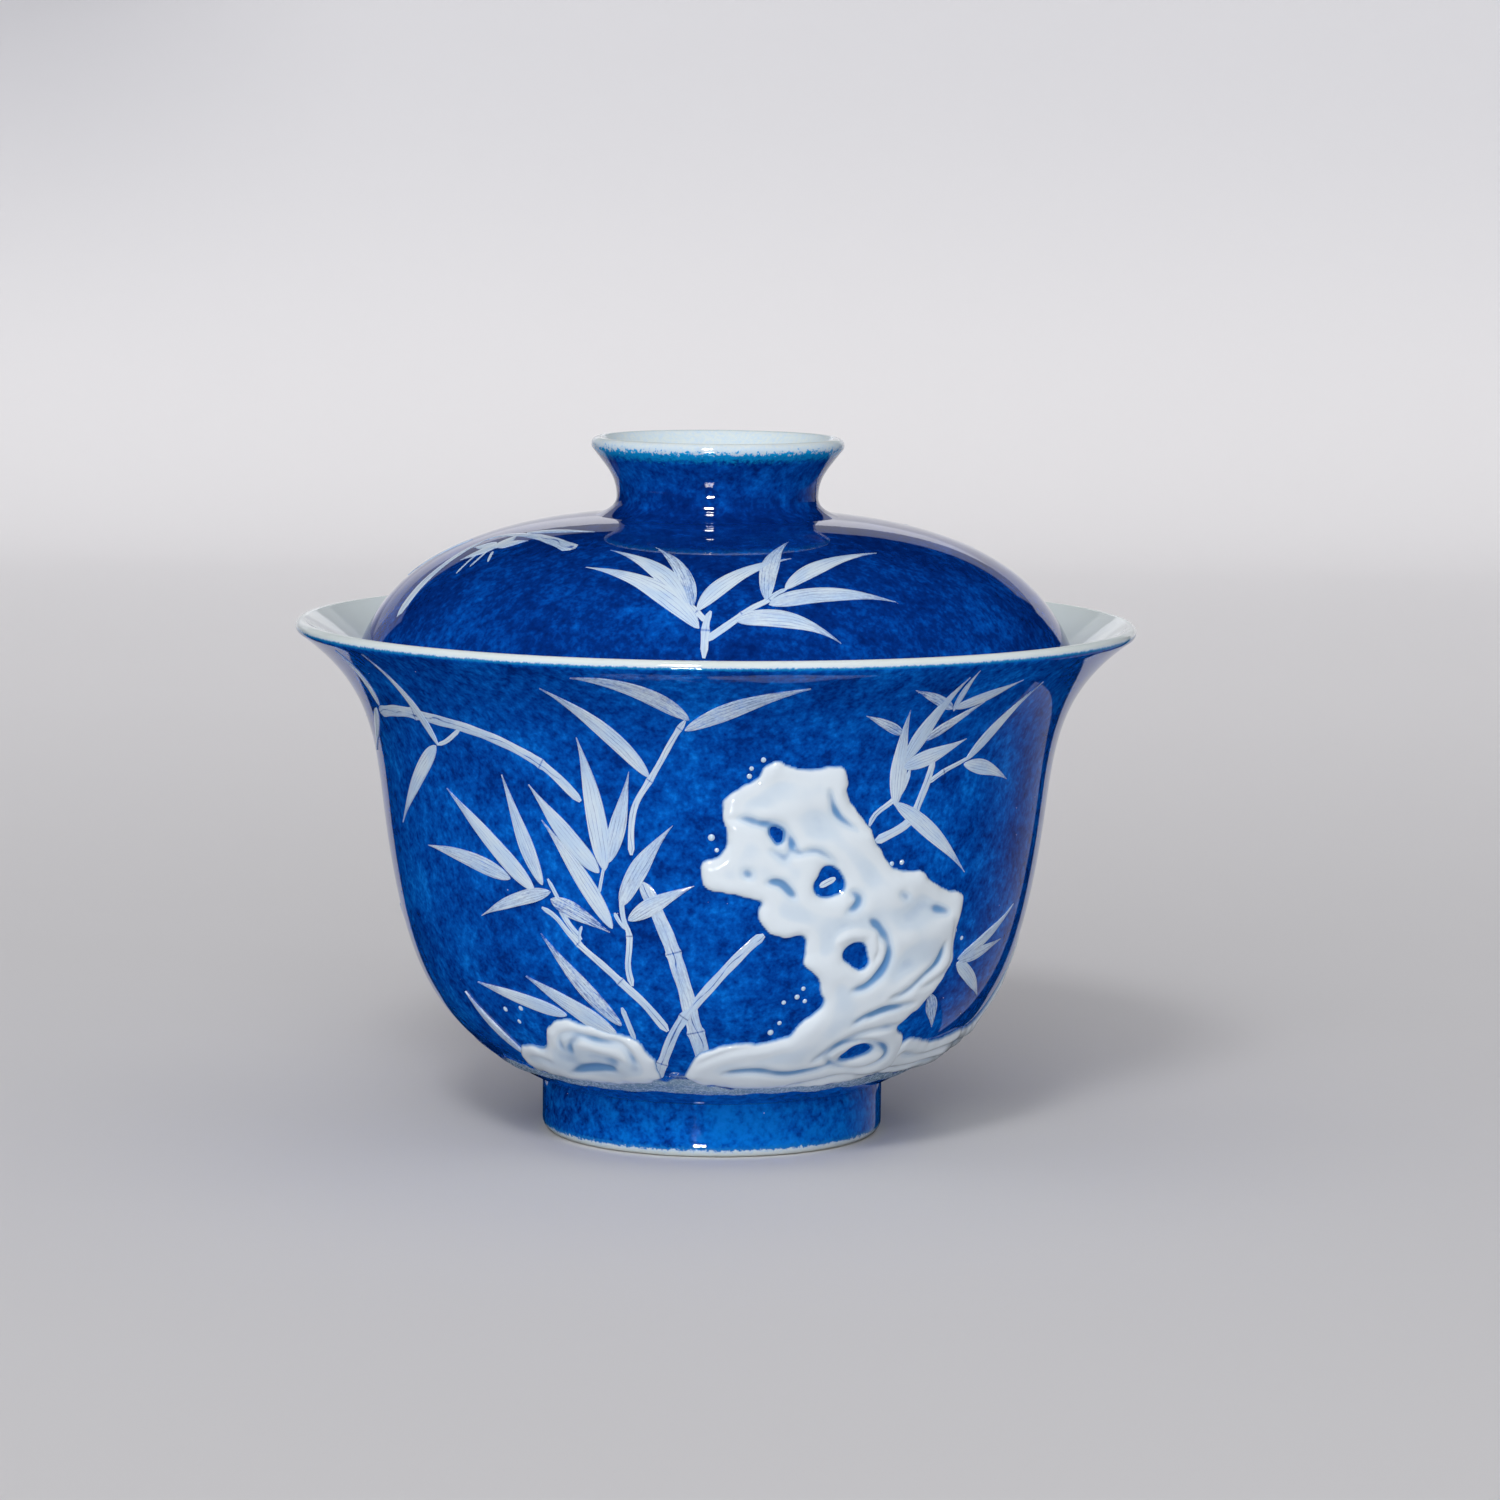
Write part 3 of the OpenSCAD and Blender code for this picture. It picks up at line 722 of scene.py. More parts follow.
@dataclass(frozen=True)
class BrushedSlip:
    """White slip brushed thin over the blue: its veins, dry streaks and fading tips show blue."""

    name: str = "brushed_slip"
    full: Colour = (0.570, 0.735, 0.930, 1.0)
    chalky: Colour = (0.700, 0.825, 0.935, 1.0)
    ground: CobaltGround = CobaltGround()

    def material(self) -> bpy.types.Material:
        """Makes the material from the marks' own values: grain, side, dry, fade, veins and joint."""
        sheet = Sheet(self.name)
        blue, waves = self.ground.colour(sheet)
        grain = sheet.vector_of("grain")
        fade = sheet.value_of("fade")
        wobble = sheet.drawn_out(grain, (0.25, 0.6, 7.0), 1.0) - 0.5
        phase = sheet.value_of("side") * sheet.value_of("veins") + wobble
        ripple = sheet.math("ABSOLUTE", sheet.math("SINE", phase * math.pi))
        broken = sheet.drawn_out(grain, (0.32, 1.1, 5.0)).spread(0.40, 0.62)
        vein = ripple.spread(0.03, 0.24, 1.0, 0.0) * (broken * 0.66 + 0.16)
        streaks = sheet.drawn_out(grain, (0.35, 5.5, 3.0), 3.0, 0.65)
        specks = sheet.drawn_out(grain, (2.2, 4.5, 3.0), 2.0, 0.6)
        worn = (streaks * 0.65 + specks * 0.35).spread(0.40, 0.66)
        lost = worn * (sheet.value_of("dry") + (1.0 - fade))
        cover = (1.0 - vein).less(worn * 0.03).less(lost).less(sheet.value_of("joint"))
        cover = cover * (fade * 0.30 + 0.69)
        patch = sheet.drawn_out(grain, (0.2, 0.5, 2.0), 1.0).spread(0.35, 0.65)
        colour = sheet.blend(cover, blue, sheet.blend(patch, self.full, self.chalky))
        sheet.relief(cover, 0.02 * MM, 0.3)
        return sheet.finished(colour, waves.spread(0.2, 0.8, 0.04, 0.10))


@dataclass(frozen=True)
class RockSlip:
    """Thick white slip, bluish where it is thin and where glaze pools in its hollows."""

    name: str = "rock_slip"
    crest: Colour = (0.810, 0.890, 0.950, 1.0)
    body: Colour = (0.700, 0.812, 0.915, 1.0)
    pooled: Colour = (0.170, 0.350, 0.620, 1.0)
    veil: Colour = (0.120, 0.300, 0.640, 1.0)
    ground: CobaltGround = CobaltGround()

    def material(self) -> bpy.types.Material:
        """Makes the material from the rock's own values: cover and hollow."""
        sheet = Sheet(self.name)
        blue, waves = self.ground.colour(sheet)
        place = sheet.place()
        hollow = sheet.value_of("hollow") + (sheet.noise(place, 3.2, 3.0, 0.6) - 0.5) * 0.35
        slip = sheet.blend(hollow.spread(-0.45, 0.10), self.crest, self.body)
        slip = sheet.blend(hollow.spread(0.10, 0.95), slip, self.pooled)
        cover = sheet.value_of("cover") + (sheet.noise(place, 0.6, 2.0, 0.6) - 0.5) * 0.16
        colour = sheet.blend(cover.spread(0.02, 0.20), blue, self.veil)
        colour = sheet.blend(cover.spread(0.12, 0.70), colour, slip)
        sheet.relief(sheet.noise(place, 1.4), 0.06 * MM, 0.35)
        return sheet.finished(colour, waves.spread(0.2, 0.8, 0.06, 0.13))


@dataclass(frozen=True)
class SandySlip:
    """Thin greyish slip full of sand, with long blue gaps and pale grains painted with glints."""

    name: str = "sandy_slip"
    sand: Colour = (0.240, 0.370, 0.530, 1.0)
    pale: Colour = (0.430, 0.560, 0.700, 1.0)
    grit_glint: Colour = (0.860, 0.880, 0.900, 1.0)
    grit_gap: float = 0.5
    ground: CobaltGround = CobaltGround()

    def material(self) -> bpy.types.Material:
        """Makes the material from the band's own values: grain and cover."""
        sheet = Sheet(self.name)
        blue, _ = self.ground.colour(sheet)
        place = sheet.place()
        streak = sheet.drawn_out(sheet.vector_of("grain"), (0.16, 0.9, 1.0))
        speck = sheet.noise(place, 0.4, 2.0, 0.7)
        slip = sheet.blend((streak * 0.6 + speck * 0.4).spread(0.38, 0.62), self.sand, self.pale)
        cover = sheet.value_of("cover") + streak * 1.1
        # Grains: pale dots, partly the sand's own colour and partly painted glints.
        distance, chance = sheet.cells(place, self.grit_gap)
        grit_glint_dot = distance.spread(0.12, 0.24, 1.0, 0.0) * chance.spread(0.38, 0.5)
        colour = sheet.blend(grit_glint_dot, sheet.blend(cover.spread(0.50, 0.70), blue, slip), self.grit_glint)
        sheet.relief(speck + grit_glint_dot, 0.08 * MM, 0.6)
        return sheet.finished(colour, speck.spread(0.3, 0.7, 0.10, 0.38))


@dataclass(frozen=True)
class PaleWall:
    """Pale grey paint for the floor and backdrop, with painted light at the back and painted shade at the
    left.
    """

    name: str = "pale_wall"
    light: Colour = (0.735, 0.728, 0.738, 1.0)
    shade: Colour = (0.705, 0.694, 0.702, 1.0)
    # painted light: the floor is drawn lighter towards the back
    painted_far_light: Colour = (0.900, 0.885, 0.892, 1.0)
    # painted light: the upright card is drawn lighter
    card: Colour = (0.765, 0.760, 0.780, 1.0)
    # painted shade: the far left and the upper left corner are drawn darker
    far_left: Colour = (0.300, 0.300, 0.340, 1.0)
    cloud: float = 260.0

    def material(self) -> bpy.types.Material:
        """Makes the material."""
        sheet = Sheet(self.name)
        clouds = sheet.noise(sheet.place(), self.cloud)
        across, back, height = sheet.parts_of(sheet.place())
        paint = sheet.blend(clouds, self.shade, self.light)
        # Painted light: lighter towards the back, and up the card.
        paint = sheet.blend(back.spread(0.0, 600.0), paint, self.painted_far_light)
        paint = sheet.blend(height.spread(0.0, 160.0), paint, self.card)
        # Painted shade: darker in the upper left corner and along the far left.
        painted_corner_shade = across.spread(-250.0, -110.0, 0.5, 0.0) * height.spread(40.0, 300.0)
        paint = sheet.blend(painted_corner_shade, paint, self.far_left)
        paint = sheet.blend(across.spread(-520.0, -280.0, 1.0, 0.0), paint, self.far_left)
        return sheet.finished(paint, clouds.spread(0.0, 1.0, 0.75, 0.85), 0.1)


def dress(piece: bpy.types.Object, material: bpy.types.Material, body: Body, slot: Slot, *nodes: str) -> None:
    """Finishes a piece, puts it on its body and lets it stand for its nodes.

    Args:
        piece: the object.
        material: its finish.
        body: the body that it moves with.
        slot: the record's slot that the finish belongs to; not used.
        nodes: the nodes that it stands for.
    """
    piece.data.materials.clear()
    piece.data.materials.append(material)
    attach(piece, body.value)
    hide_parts(*nodes)
    LOG.info("%s: %d faces, rides on %s", piece.name, len(piece.data.polygons), body.value)


# ---------------------------------------------------------------- the bowl's clay
@dataclass
class BowlBody:
    """The thrown and turned bowl, with its flared rim, and its foot ring. Sizes in millimetres."""

    belly_r: float = 43.0
    belly_h: float = 39.4
    wall: float = 2.4
    lip: float = 1.7
    floor: float = 2.8
    foot_wall: float = 3.0
    foot_bevel: float = 1.2
    side_slope: float = 0.15
    belly_reach: float = 0.68
    belly_drop: float = 0.21
    belly_turn: float = 0.42
    side_share: float = 0.41
    flare_rise: float = 7.6
    flare_in: float = 1.0
    lip_angle: float = -52.0
    steps: int = 48
    white_lip: float = 1.34
    white_foot: float = 1.0

    def __post_init__(self) -> None:
        """Takes the outer sizes from the frame and draws the outlines."""
        wall_low, wall_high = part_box("bowl_wall")
        _, foot_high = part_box("bowl_foot_ring")
        self.rim_r = wall_high.x / MM
        self.height = wall_high.z / MM
        self.foot_h = wall_low.z / MM
        self.foot_r = foot_high.x / MM
        self.lip_centre, self.lip_out = round_lip(self.rim_r, self.height, self.lip, self.lip_angle)
        rise = self.belly_h - self.foot_h
        belly = bezier([
            (self.foot_r, self.foot_h),
            (mix(self.foot_r, self.belly_r, self.belly_reach), self.foot_h + self.belly_drop * rise),
            (self.belly_r - self.side_slope * (1 - self.belly_turn) * rise,
             self.foot_h + self.belly_turn * rise),
            (self.belly_r, self.belly_h),
        ], self.steps)
        straight = self.side_share * (self.lip_out[1] - self.belly_h)
        flare = bezier([
            (self.belly_r, self.belly_h),
            (self.belly_r + self.side_slope * straight, self.belly_h + straight),
            (self.belly_r + self.flare_in, self.lip_out[1] - self.flare_rise),
            tuple(self.lip_out),
        ], self.steps)
        self.outer = np.vstack([belly, flare[1:]])

    def skin(self) -> BowlSkin:
        """The outside that the decoration lies on."""
        return BowlSkin(Outline(self.outer))

    def inner(self) -> np.ndarray:
        """The inside, from the middle of the floor to the lip."""
        moved = offset(self.outer, self.wall, self.lip)
        turn = self.steps // 3
        at = moved[turn]
        step = moved[turn + 1] - moved[turn - 1]
        step = step / np.linalg.norm(step)
        floor_z = self.foot_h + self.floor
        reach = (at[1] - floor_z) / step[1]
        floor = bezier([
            (0.0, floor_z), ((at[0] - reach * step[0]) * 0.6, floor_z), tuple(at - reach * step), tuple(at),
        ], self.steps)
        return np.vstack([floor, moved[turn + 1:-2]])

    def wall_piece(self) -> bpy.types.Object:
        """Turns the wall, blue outside and white inside."""
        lip = arc(tuple(self.lip_centre), self.lip / 2, self.lip_angle, self.lip_angle + 180, 24)
        base = np.array([[share * self.foot_r, self.foot_h] for share in (0.0, 0.5, 0.97)])
        inner = self.inner()[::-1]
        path = np.vstack([base, self.outer, lip, inner])
        run = below_top(path, self.white_lip)
        run[:len(base)] = -FULL
        return turned("bowl_wall_glazed", path, {"run": run, "bare": np.zeros(len(run))})

    def foot_piece(self) -> bpy.types.Object:
        """Turns the foot ring, blue outside above its white edge, and bare where it stands."""
        b = self.foot_bevel
        inner_r = self.foot_r - self.foot_wall
        side = np.array([
            [self.foot_r - b, 0.0], [self.foot_r - 0.66 * b, 0.09 * b], [self.foot_r - 0.36 * b, 0.30 * b],
            [self.foot_r - 0.14 * b, 0.60 * b], [self.foot_r - 0.02 * b, 0.95 * b], [self.foot_r, 1.2 * b],
            [self.foot_r, 1.5 * b], [self.foot_r, self.foot_h - 1.3], [self.foot_r, self.foot_h - 0.9],
            [self.foot_r - 0.22, self.foot_h - 0.25], [self.foot_r - 0.3, self.foot_h + 0.25],
        ])
        inside_path = np.array([
            [inner_r, self.foot_h + 0.25], [inner_r, 0.5 * self.foot_h], [inner_r, 1.1 * b],
            [inner_r + 0.12 * b, 0.5 * b], [inner_r + 0.32 * b, 0.14 * b], [inner_r + 0.6 * b, 0.0],
        ])
        path = np.vstack([side, inside_path])
        run = np.concatenate([side[:, 1] - self.white_foot, np.full(len(inside_path), -2.0)])
        bare = np.array([1.0 if z < 0.2 * b else 0.0 for _, z in path])
        return turned("foot_ring_glazed", path, {"run": run, "bare": bare})

    def build(self) -> None:
        """Makes and dresses both pieces."""
        dress(self.wall_piece(), Glaze("bowl_glaze").material(), Body.BOWL, Slot.BLUE, "bowl_wall")
        lighter = CobaltGround(middle=(0.0012, 0.100, 0.520, 1.0), bright=(0.002, 0.180, 0.700, 1.0))
        foot = Glaze("foot_glaze", halo=0.5, rag=0.7, thin=(0.012, 0.200, 0.600, 1.0), ground=lighter)
        dress(self.foot_piece(), foot.material(), Body.BOWL, Slot.BLUE, "bowl_foot_ring")


# ---------------------------------------------------------------- the lid's clay
@dataclass
class LidBody:
    """The domed lid and the ring that serves as its knob. Sizes in millimetres."""

    wall: float = 2.2
    edge_wall: float = 3.6
    shoulder_reach: float = 0.9
    shoulder_drop: float = 4.9
    crown_reach: float = 0.61
    crown_drop: float = 1.1
    knob_foot_r: float = 15.7
    knob_waist_r: float = 13.2
    waist_share: float = 0.24
    knob_wall: float = 2.1
    knob_lip: float = 1.9
    knob_lip_angle: float = -40.0
    knob_flow: float = 0.6
    knob_sunk: float = 0.12
    white_lip: float = 1.75
    steps: int = 40

    def __post_init__(self) -> None:
        """Takes the outer sizes from the frame and draws the dome's outline."""
        dome_low, dome_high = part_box("lid_dome")
        _, knob_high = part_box("lid_knob_ring")
        self.radius = dome_high.x / MM
        self.edge_z = dome_low.z / MM
        self.top_z = dome_high.z / MM
        self.knob_r = knob_high.x / MM
        self.knob_z = knob_high.z / MM
        self.outer = bezier([
            (self.radius, self.edge_z + self.edge_wall),
            (self.shoulder_reach * self.radius, self.top_z - self.shoulder_drop),
            (self.crown_reach * self.radius, self.top_z - self.crown_drop),
            (self.knob_foot_r, self.top_z),
        ], 2 * self.steps)

    def skin(self) -> LidSkin:
        """The top that the decoration lies on."""
        return LidSkin(Outline(self.outer))

    def dome_piece(self) -> bpy.types.Object:
        """Turns the dome, blue on top and white below and inside the knob ring, its blue painted darker near
        the knob as shade.
        """
        half = self.wall / 2
        edge = arc((self.radius - half, self.edge_z + half), half, 0, -180, 18)
        upright = np.array([[self.radius, self.edge_z + rise] for rise in (0.6 * self.edge_wall, half)])
        top = np.array([[r * self.knob_foot_r, self.top_z] for r in (0.0, 0.5, 0.92)])
        inner = offset(self.outer, self.wall, self.wall)
        inner = inner[inner[:, 1] < self.top_z - self.wall]
        inner = np.vstack([[self.radius - self.wall, self.edge_z + half], inner, [0.0, inner[-1, 1]]])
        outer = self.outer[::-1]
        path = np.vstack([top, outer, upright, edge, inner])
        blue = len(outer) + len(upright)
        run = np.full(len(path), -1.0)
        run[len(top):len(top) + blue] = FULL
        # Painted shade: the blue on the dome is drawn darker towards the knob.
        painted_shade = 0.85 + 0.55 * (1 - smoothstep(20.0, 42.0, path[:, 0]))
        return turned("lid_dome_glazed", path, {"run": run, "bare": np.zeros(len(run)), "painted_shade": painted_shade})

    def knob_piece(self) -> bpy.types.Object:
        """Turns the knob ring, blue outside below its white lip, its blue painted darker towards its foot as
        shade.
        """
        height = self.knob_z - self.top_z
        waist_z = self.top_z + self.waist_share * height
        centre, lip_out = round_lip(self.knob_r, self.knob_z, self.knob_lip, self.knob_lip_angle)
        lower = bezier([
            (self.knob_foot_r + self.knob_flow, self.top_z - self.knob_sunk),
            (mix(self.knob_waist_r, self.knob_foot_r, 0.45), self.top_z + 0.15 * (waist_z - self.top_z)),
            (self.knob_waist_r, mix(self.top_z, waist_z, 0.5)),
            (self.knob_waist_r, waist_z),
        ], self.steps)
        upper = bezier([
            (self.knob_waist_r, waist_z),
            (self.knob_waist_r, mix(waist_z, lip_out[1], 0.42)),
            (mix(self.knob_waist_r, lip_out[0], 0.42), mix(waist_z, lip_out[1], 0.62)),
            tuple(lip_out),
        ], self.steps)
        outer = np.vstack([lower, upper[1:]])
        lip = arc(tuple(centre), self.knob_lip / 2, self.knob_lip_angle, self.knob_lip_angle + 180, 18)
        inner = offset(outer, self.knob_wall, self.knob_lip)[::-1]
        inner[:, 1] = np.maximum(inner[:, 1], self.top_z - self.knob_sunk)
        path = np.vstack([outer, lip, inner[1:]])
        run = below_top(path, self.white_lip)
        # Painted shade: the blue is drawn darker at the knob's foot, where it meets the dome.
        painted_shade = 1.25 - smoothstep(0.0, 0.5 * height, path[:, 1] - self.top_z)
        return turned("knob_ring_glazed", path, {"run": run, "bare": np.zeros(len(run)), "painted_shade": painted_shade})

    def build(self) -> None:
        """Makes and dresses both pieces."""
        dress(self.dome_piece(), Glaze("lid_glaze").material(), Body.LID, Slot.BLUE, "lid_dome")
        knob = Glaze("knob_glaze", halo=1.5, rag=1.6, thin=(0.006, 0.370, 0.800, 1.0))
        dress(self.knob_piece(), knob.material(), Body.LID, Slot.BLUE, "lid_knob_ring")


# ---------------------------------------------------------------- brushed bamboo
@dataclass(frozen=True)
class Leaf:
    """One bamboo leaf, brushed from its base to its point.

    Attributes:
        azimuth: direction that it is drawn from, in degrees.
        up: height of its base on the bowl, or its distance from the axis on the lid.
        heading: direction of the leaf, 0 to the right and 90 up, or towards the axis on the lid.
        length: from base to point.
        width: at its fullest.
        bend: how many degrees it turns to its left on the way.
        dry: how dry the brush was, from 0 to 1.
    """

    azimuth: float
    up: float
    heading: float
    length: float
    width: float
    bend: float = 0.0
    dry: float = 0.1


@dataclass(frozen=True)
class Cane:
    """A jointed cane or twig, brushed along points across and up at its azimuth.

    Attributes:
        azimuth: direction that it is drawn from, in degrees.
        start: width at its start.
        end: width at its end.
        points: the line that it follows.
        joints: places of its joints, as shares of its length.
        dry: how dry the brush was, from 0 to 1.
    """

    azimuth: float
    start: float
    end: float
    points: tuple[Point, ...]
    joints: tuple[float, ...] = ()
    dry: float = 0.08


@dataclass
class BambooSpray:
    """A spray of bamboo, painted as thin pads of slip that follow the clay.

    Attributes:
        name: the piece's name.
        node: the node that it stands for.
        skin: the surface that it is painted on.
        plan: whether it is drawn in plan, as on the lid.
        canes: its canes and twigs.
        leaves: its leaves, each over the one before.
        body: the body that it moves with.
        seed: picks its brush marks.
        sunk: how deep its underside lies in the clay.
        edge: height of its marks at their edges.
        crown: height of its marks in their middles.
        layer: how much higher each mark lies than the one before.
        stalk: how far a leaf runs back past its base.
        full_half: half width from which a mark is at its full height.
        least_half: half width of a leaf's tips.
        cane_step: distance between the points along a cane.
        joint_swell: how much wider a cane is at its joints, as a share.
        joint_gap: how far the ground shows through at a joint, from 0 to 1.
        leaf_rows: how many rows of vertices a leaf has.
        columns: how many vertices lie across a mark.
    """

    name: str
    node: str
    skin: Skin
    plan: bool
    body: Body
    canes: Sequence[Cane]
    leaves: Sequence[Leaf]
    seed: int
    sunk: float = 0.35
    edge: float = 0.012
    crown: float = 0.07
    layer: float = 0.006
    stalk: float = 0.6
    full_half: float = 0.5
    least_half: float = 0.035
    cane_step: float = 0.7
    joint_swell: float = 0.22
    joint_gap: float = 0.75
    leaf_rows: int = 30
    columns: int = 9

    def drawn(self, parts: MeshParts, azimuth: float, line: np.ndarray, half: np.ndarray, lift: float,
              seed: float, values: dict[str, np.ndarray]) -> None:
        """Adds one mark.

        Args:
            parts: the mesh that it joins.
            azimuth: direction that it is drawn from.
            line: the points that it follows.
            half: its half width at each of them.
            lift: how far its edge stands above the clay.
            seed: picks its streaks.
            values: one value for each of its points, for each name.
        """
        side = np.sin(np.linspace(-math.pi / 2, math.pi / 2, self.columns))
        across = normals_of(line)
        grid = line[:, None, :] + (half[:, None] * side[None, :])[:, :, None] * across[:, None, :]
        up = -grid[..., 1] if self.plan else grid[..., 1]
        body = np.minimum(1.0, half / self.full_half)[:, None]
        rise = lift + self.edge + (self.crown - self.edge) * body * np.sqrt(1 - 0.98 * side[None, :] ** 2)
        top = self.skin.place(azimuth, grid[..., 0], up, rise)
        under = self.skin.place(azimuth, grid[..., 0], up, np.full_like(rise, -self.sunk))
        held = {key: np.repeat(value, self.columns) for key, value in values.items()}
        held["side"] = np.tile(side, len(line))
        held["grain"] = np.column_stack([
            np.repeat(lengths_along(line), self.columns), np.outer(half, side).ravel(),
            np.full(rise.size, seed),
        ])
        add_shell(parts, top.reshape(-1, 3), under.reshape(-1, 3), grid_faces(*rise.shape), held)

    def leaf(self, parts: MeshParts, leaf: Leaf, order: int, rng: np.random.Generator) -> None:
        """Adds one leaf: a narrow base, full at a third of its length, and a long fading point."""
        t = np.linspace(0.0, 1.0, self.leaf_rows) ** 1.15
        turn = np.radians(leaf.heading + leaf.bend * (t - 0.5))
        step = np.diff(t) * (leaf.length + self.stalk)
        middle = (turn[1:] + turn[:-1]) / 2
        line = np.zeros((len(t), 2))
        line[1:, 0] = np.cumsum(step * np.cos(middle))
        line[1:, 1] = np.cumsum(step * np.sin(middle))
        line -= self.stalk * np.array([math.cos(turn[0]), math.sin(turn[0])])
        line[:, 1] += -leaf.up if self.plan else leaf.up
        shape = np.maximum(t, 1e-4) ** 0.70 * (1 - t) ** 1.42
        half = 0.5 * leaf.width * shape / shape.max()
        wave = 1 + 0.05 * np.sin(t * rng.uniform(7, 12) + rng.uniform(0, 6))
        half = 1.05 * half * wave + self.least_half
        fade = 1 - smoothstep(0.62, 1.0, t) * rng.uniform(0.35, 0.75)
        values = {
            "dry": np.full(len(t), leaf.dry) + 0.25 * leaf.dry * (1 - t),
            "fade": fade,
            "veins": np.full(len(t), 2.5 if leaf.width > 1.5 else 1.5),
            "joint": np.zeros(len(t)),
        }
        self.drawn(parts, leaf.azimuth, line, half, self.layer * order, rng.uniform(0, SEEDS), values)

    def cane(self, parts: MeshParts, cane: Cane, order: int, rng: np.random.Generator) -> None:
        """Adds one cane: it swells at its joints, and a thin line of the ground crosses it there."""
        points = np.array(cane.points, float)
        if self.plan:
            points[:, 1] *= -1
        line = rounded(points, 2, False)
        total = lengths_along(line)[-1]
        at = np.linspace(0.0, total, max(8, int(total / self.cane_step)))
        joints = [share * total for share in cane.joints]
        close = np.array([-0.42, -0.2, -0.07, 0.0, 0.07, 0.2, 0.42])
        for j in joints:
            at = np.concatenate([at[np.abs(at - j) > 0.45], j + close])
        at = np.sort(at[(at >= 0) & (at <= total)])
        s = lengths_along(line)
        line = np.column_stack([np.interp(at, s, line[:, 0]), np.interp(at, s, line[:, 1])])
        half = np.linspace(cane.start, cane.end, len(at)) / 2
        swell, crossing = (
            sum((np.exp(-((at - j) / reach) ** 2) for j in joints), np.zeros(len(at)))
            for reach in (0.38, 0.07)
        )
        half = half * (1 + self.joint_swell * swell + 0.05 * np.sin(at * 1.3 + rng.uniform(0, 6)))
        ends = np.minimum(at, total - at)
        half = half * np.sqrt(np.clip(ends / (0.7 * cane.start) + 0.15, 0.0, 1.0))
        values = {
            "dry": np.full(len(at), cane.dry),
            "fade": np.ones(len(at)),
            "veins": np.full(len(at), 0.5),
            "joint": self.joint_gap * crossing,
        }
        self.drawn(parts, cane.azimuth, line, half, self.layer * order, rng.uniform(0, SEEDS), values)

    def build(self, material: bpy.types.Material) -> None:
        """Makes and dresses the spray."""
        rng = np.random.default_rng(self.seed)
        parts = MeshParts()
        for i, cane in enumerate(self.canes):
            self.cane(parts, cane, i, rng)
        for i, leaf in enumerate(self.leaves):
            self.leaf(parts, leaf, len(self.canes) + i, rng)
        dress(parts.finished(self.name), material, self.body, Slot.BRUSHED, self.node)


# ---------------------------------------------------------------- rocks in relief
@dataclass(frozen=True)
class Fold:
    """A soft groove or ridge in a rock.

    Attributes:
        depth: how deep it is, or how high where negative.
        width: how wide it is.
        points: the line that it follows, across and up.
    """

    depth: float
    width: float
    points: tuple[Point, ...]


@dataclass(frozen=True)
class Hole:
    """A hole through a rock, at a place across and up, with its half sizes and tilt in degrees."""

    across: float
    up: float
    half_width: float
    half_height: float
    tilt: float = 0.0


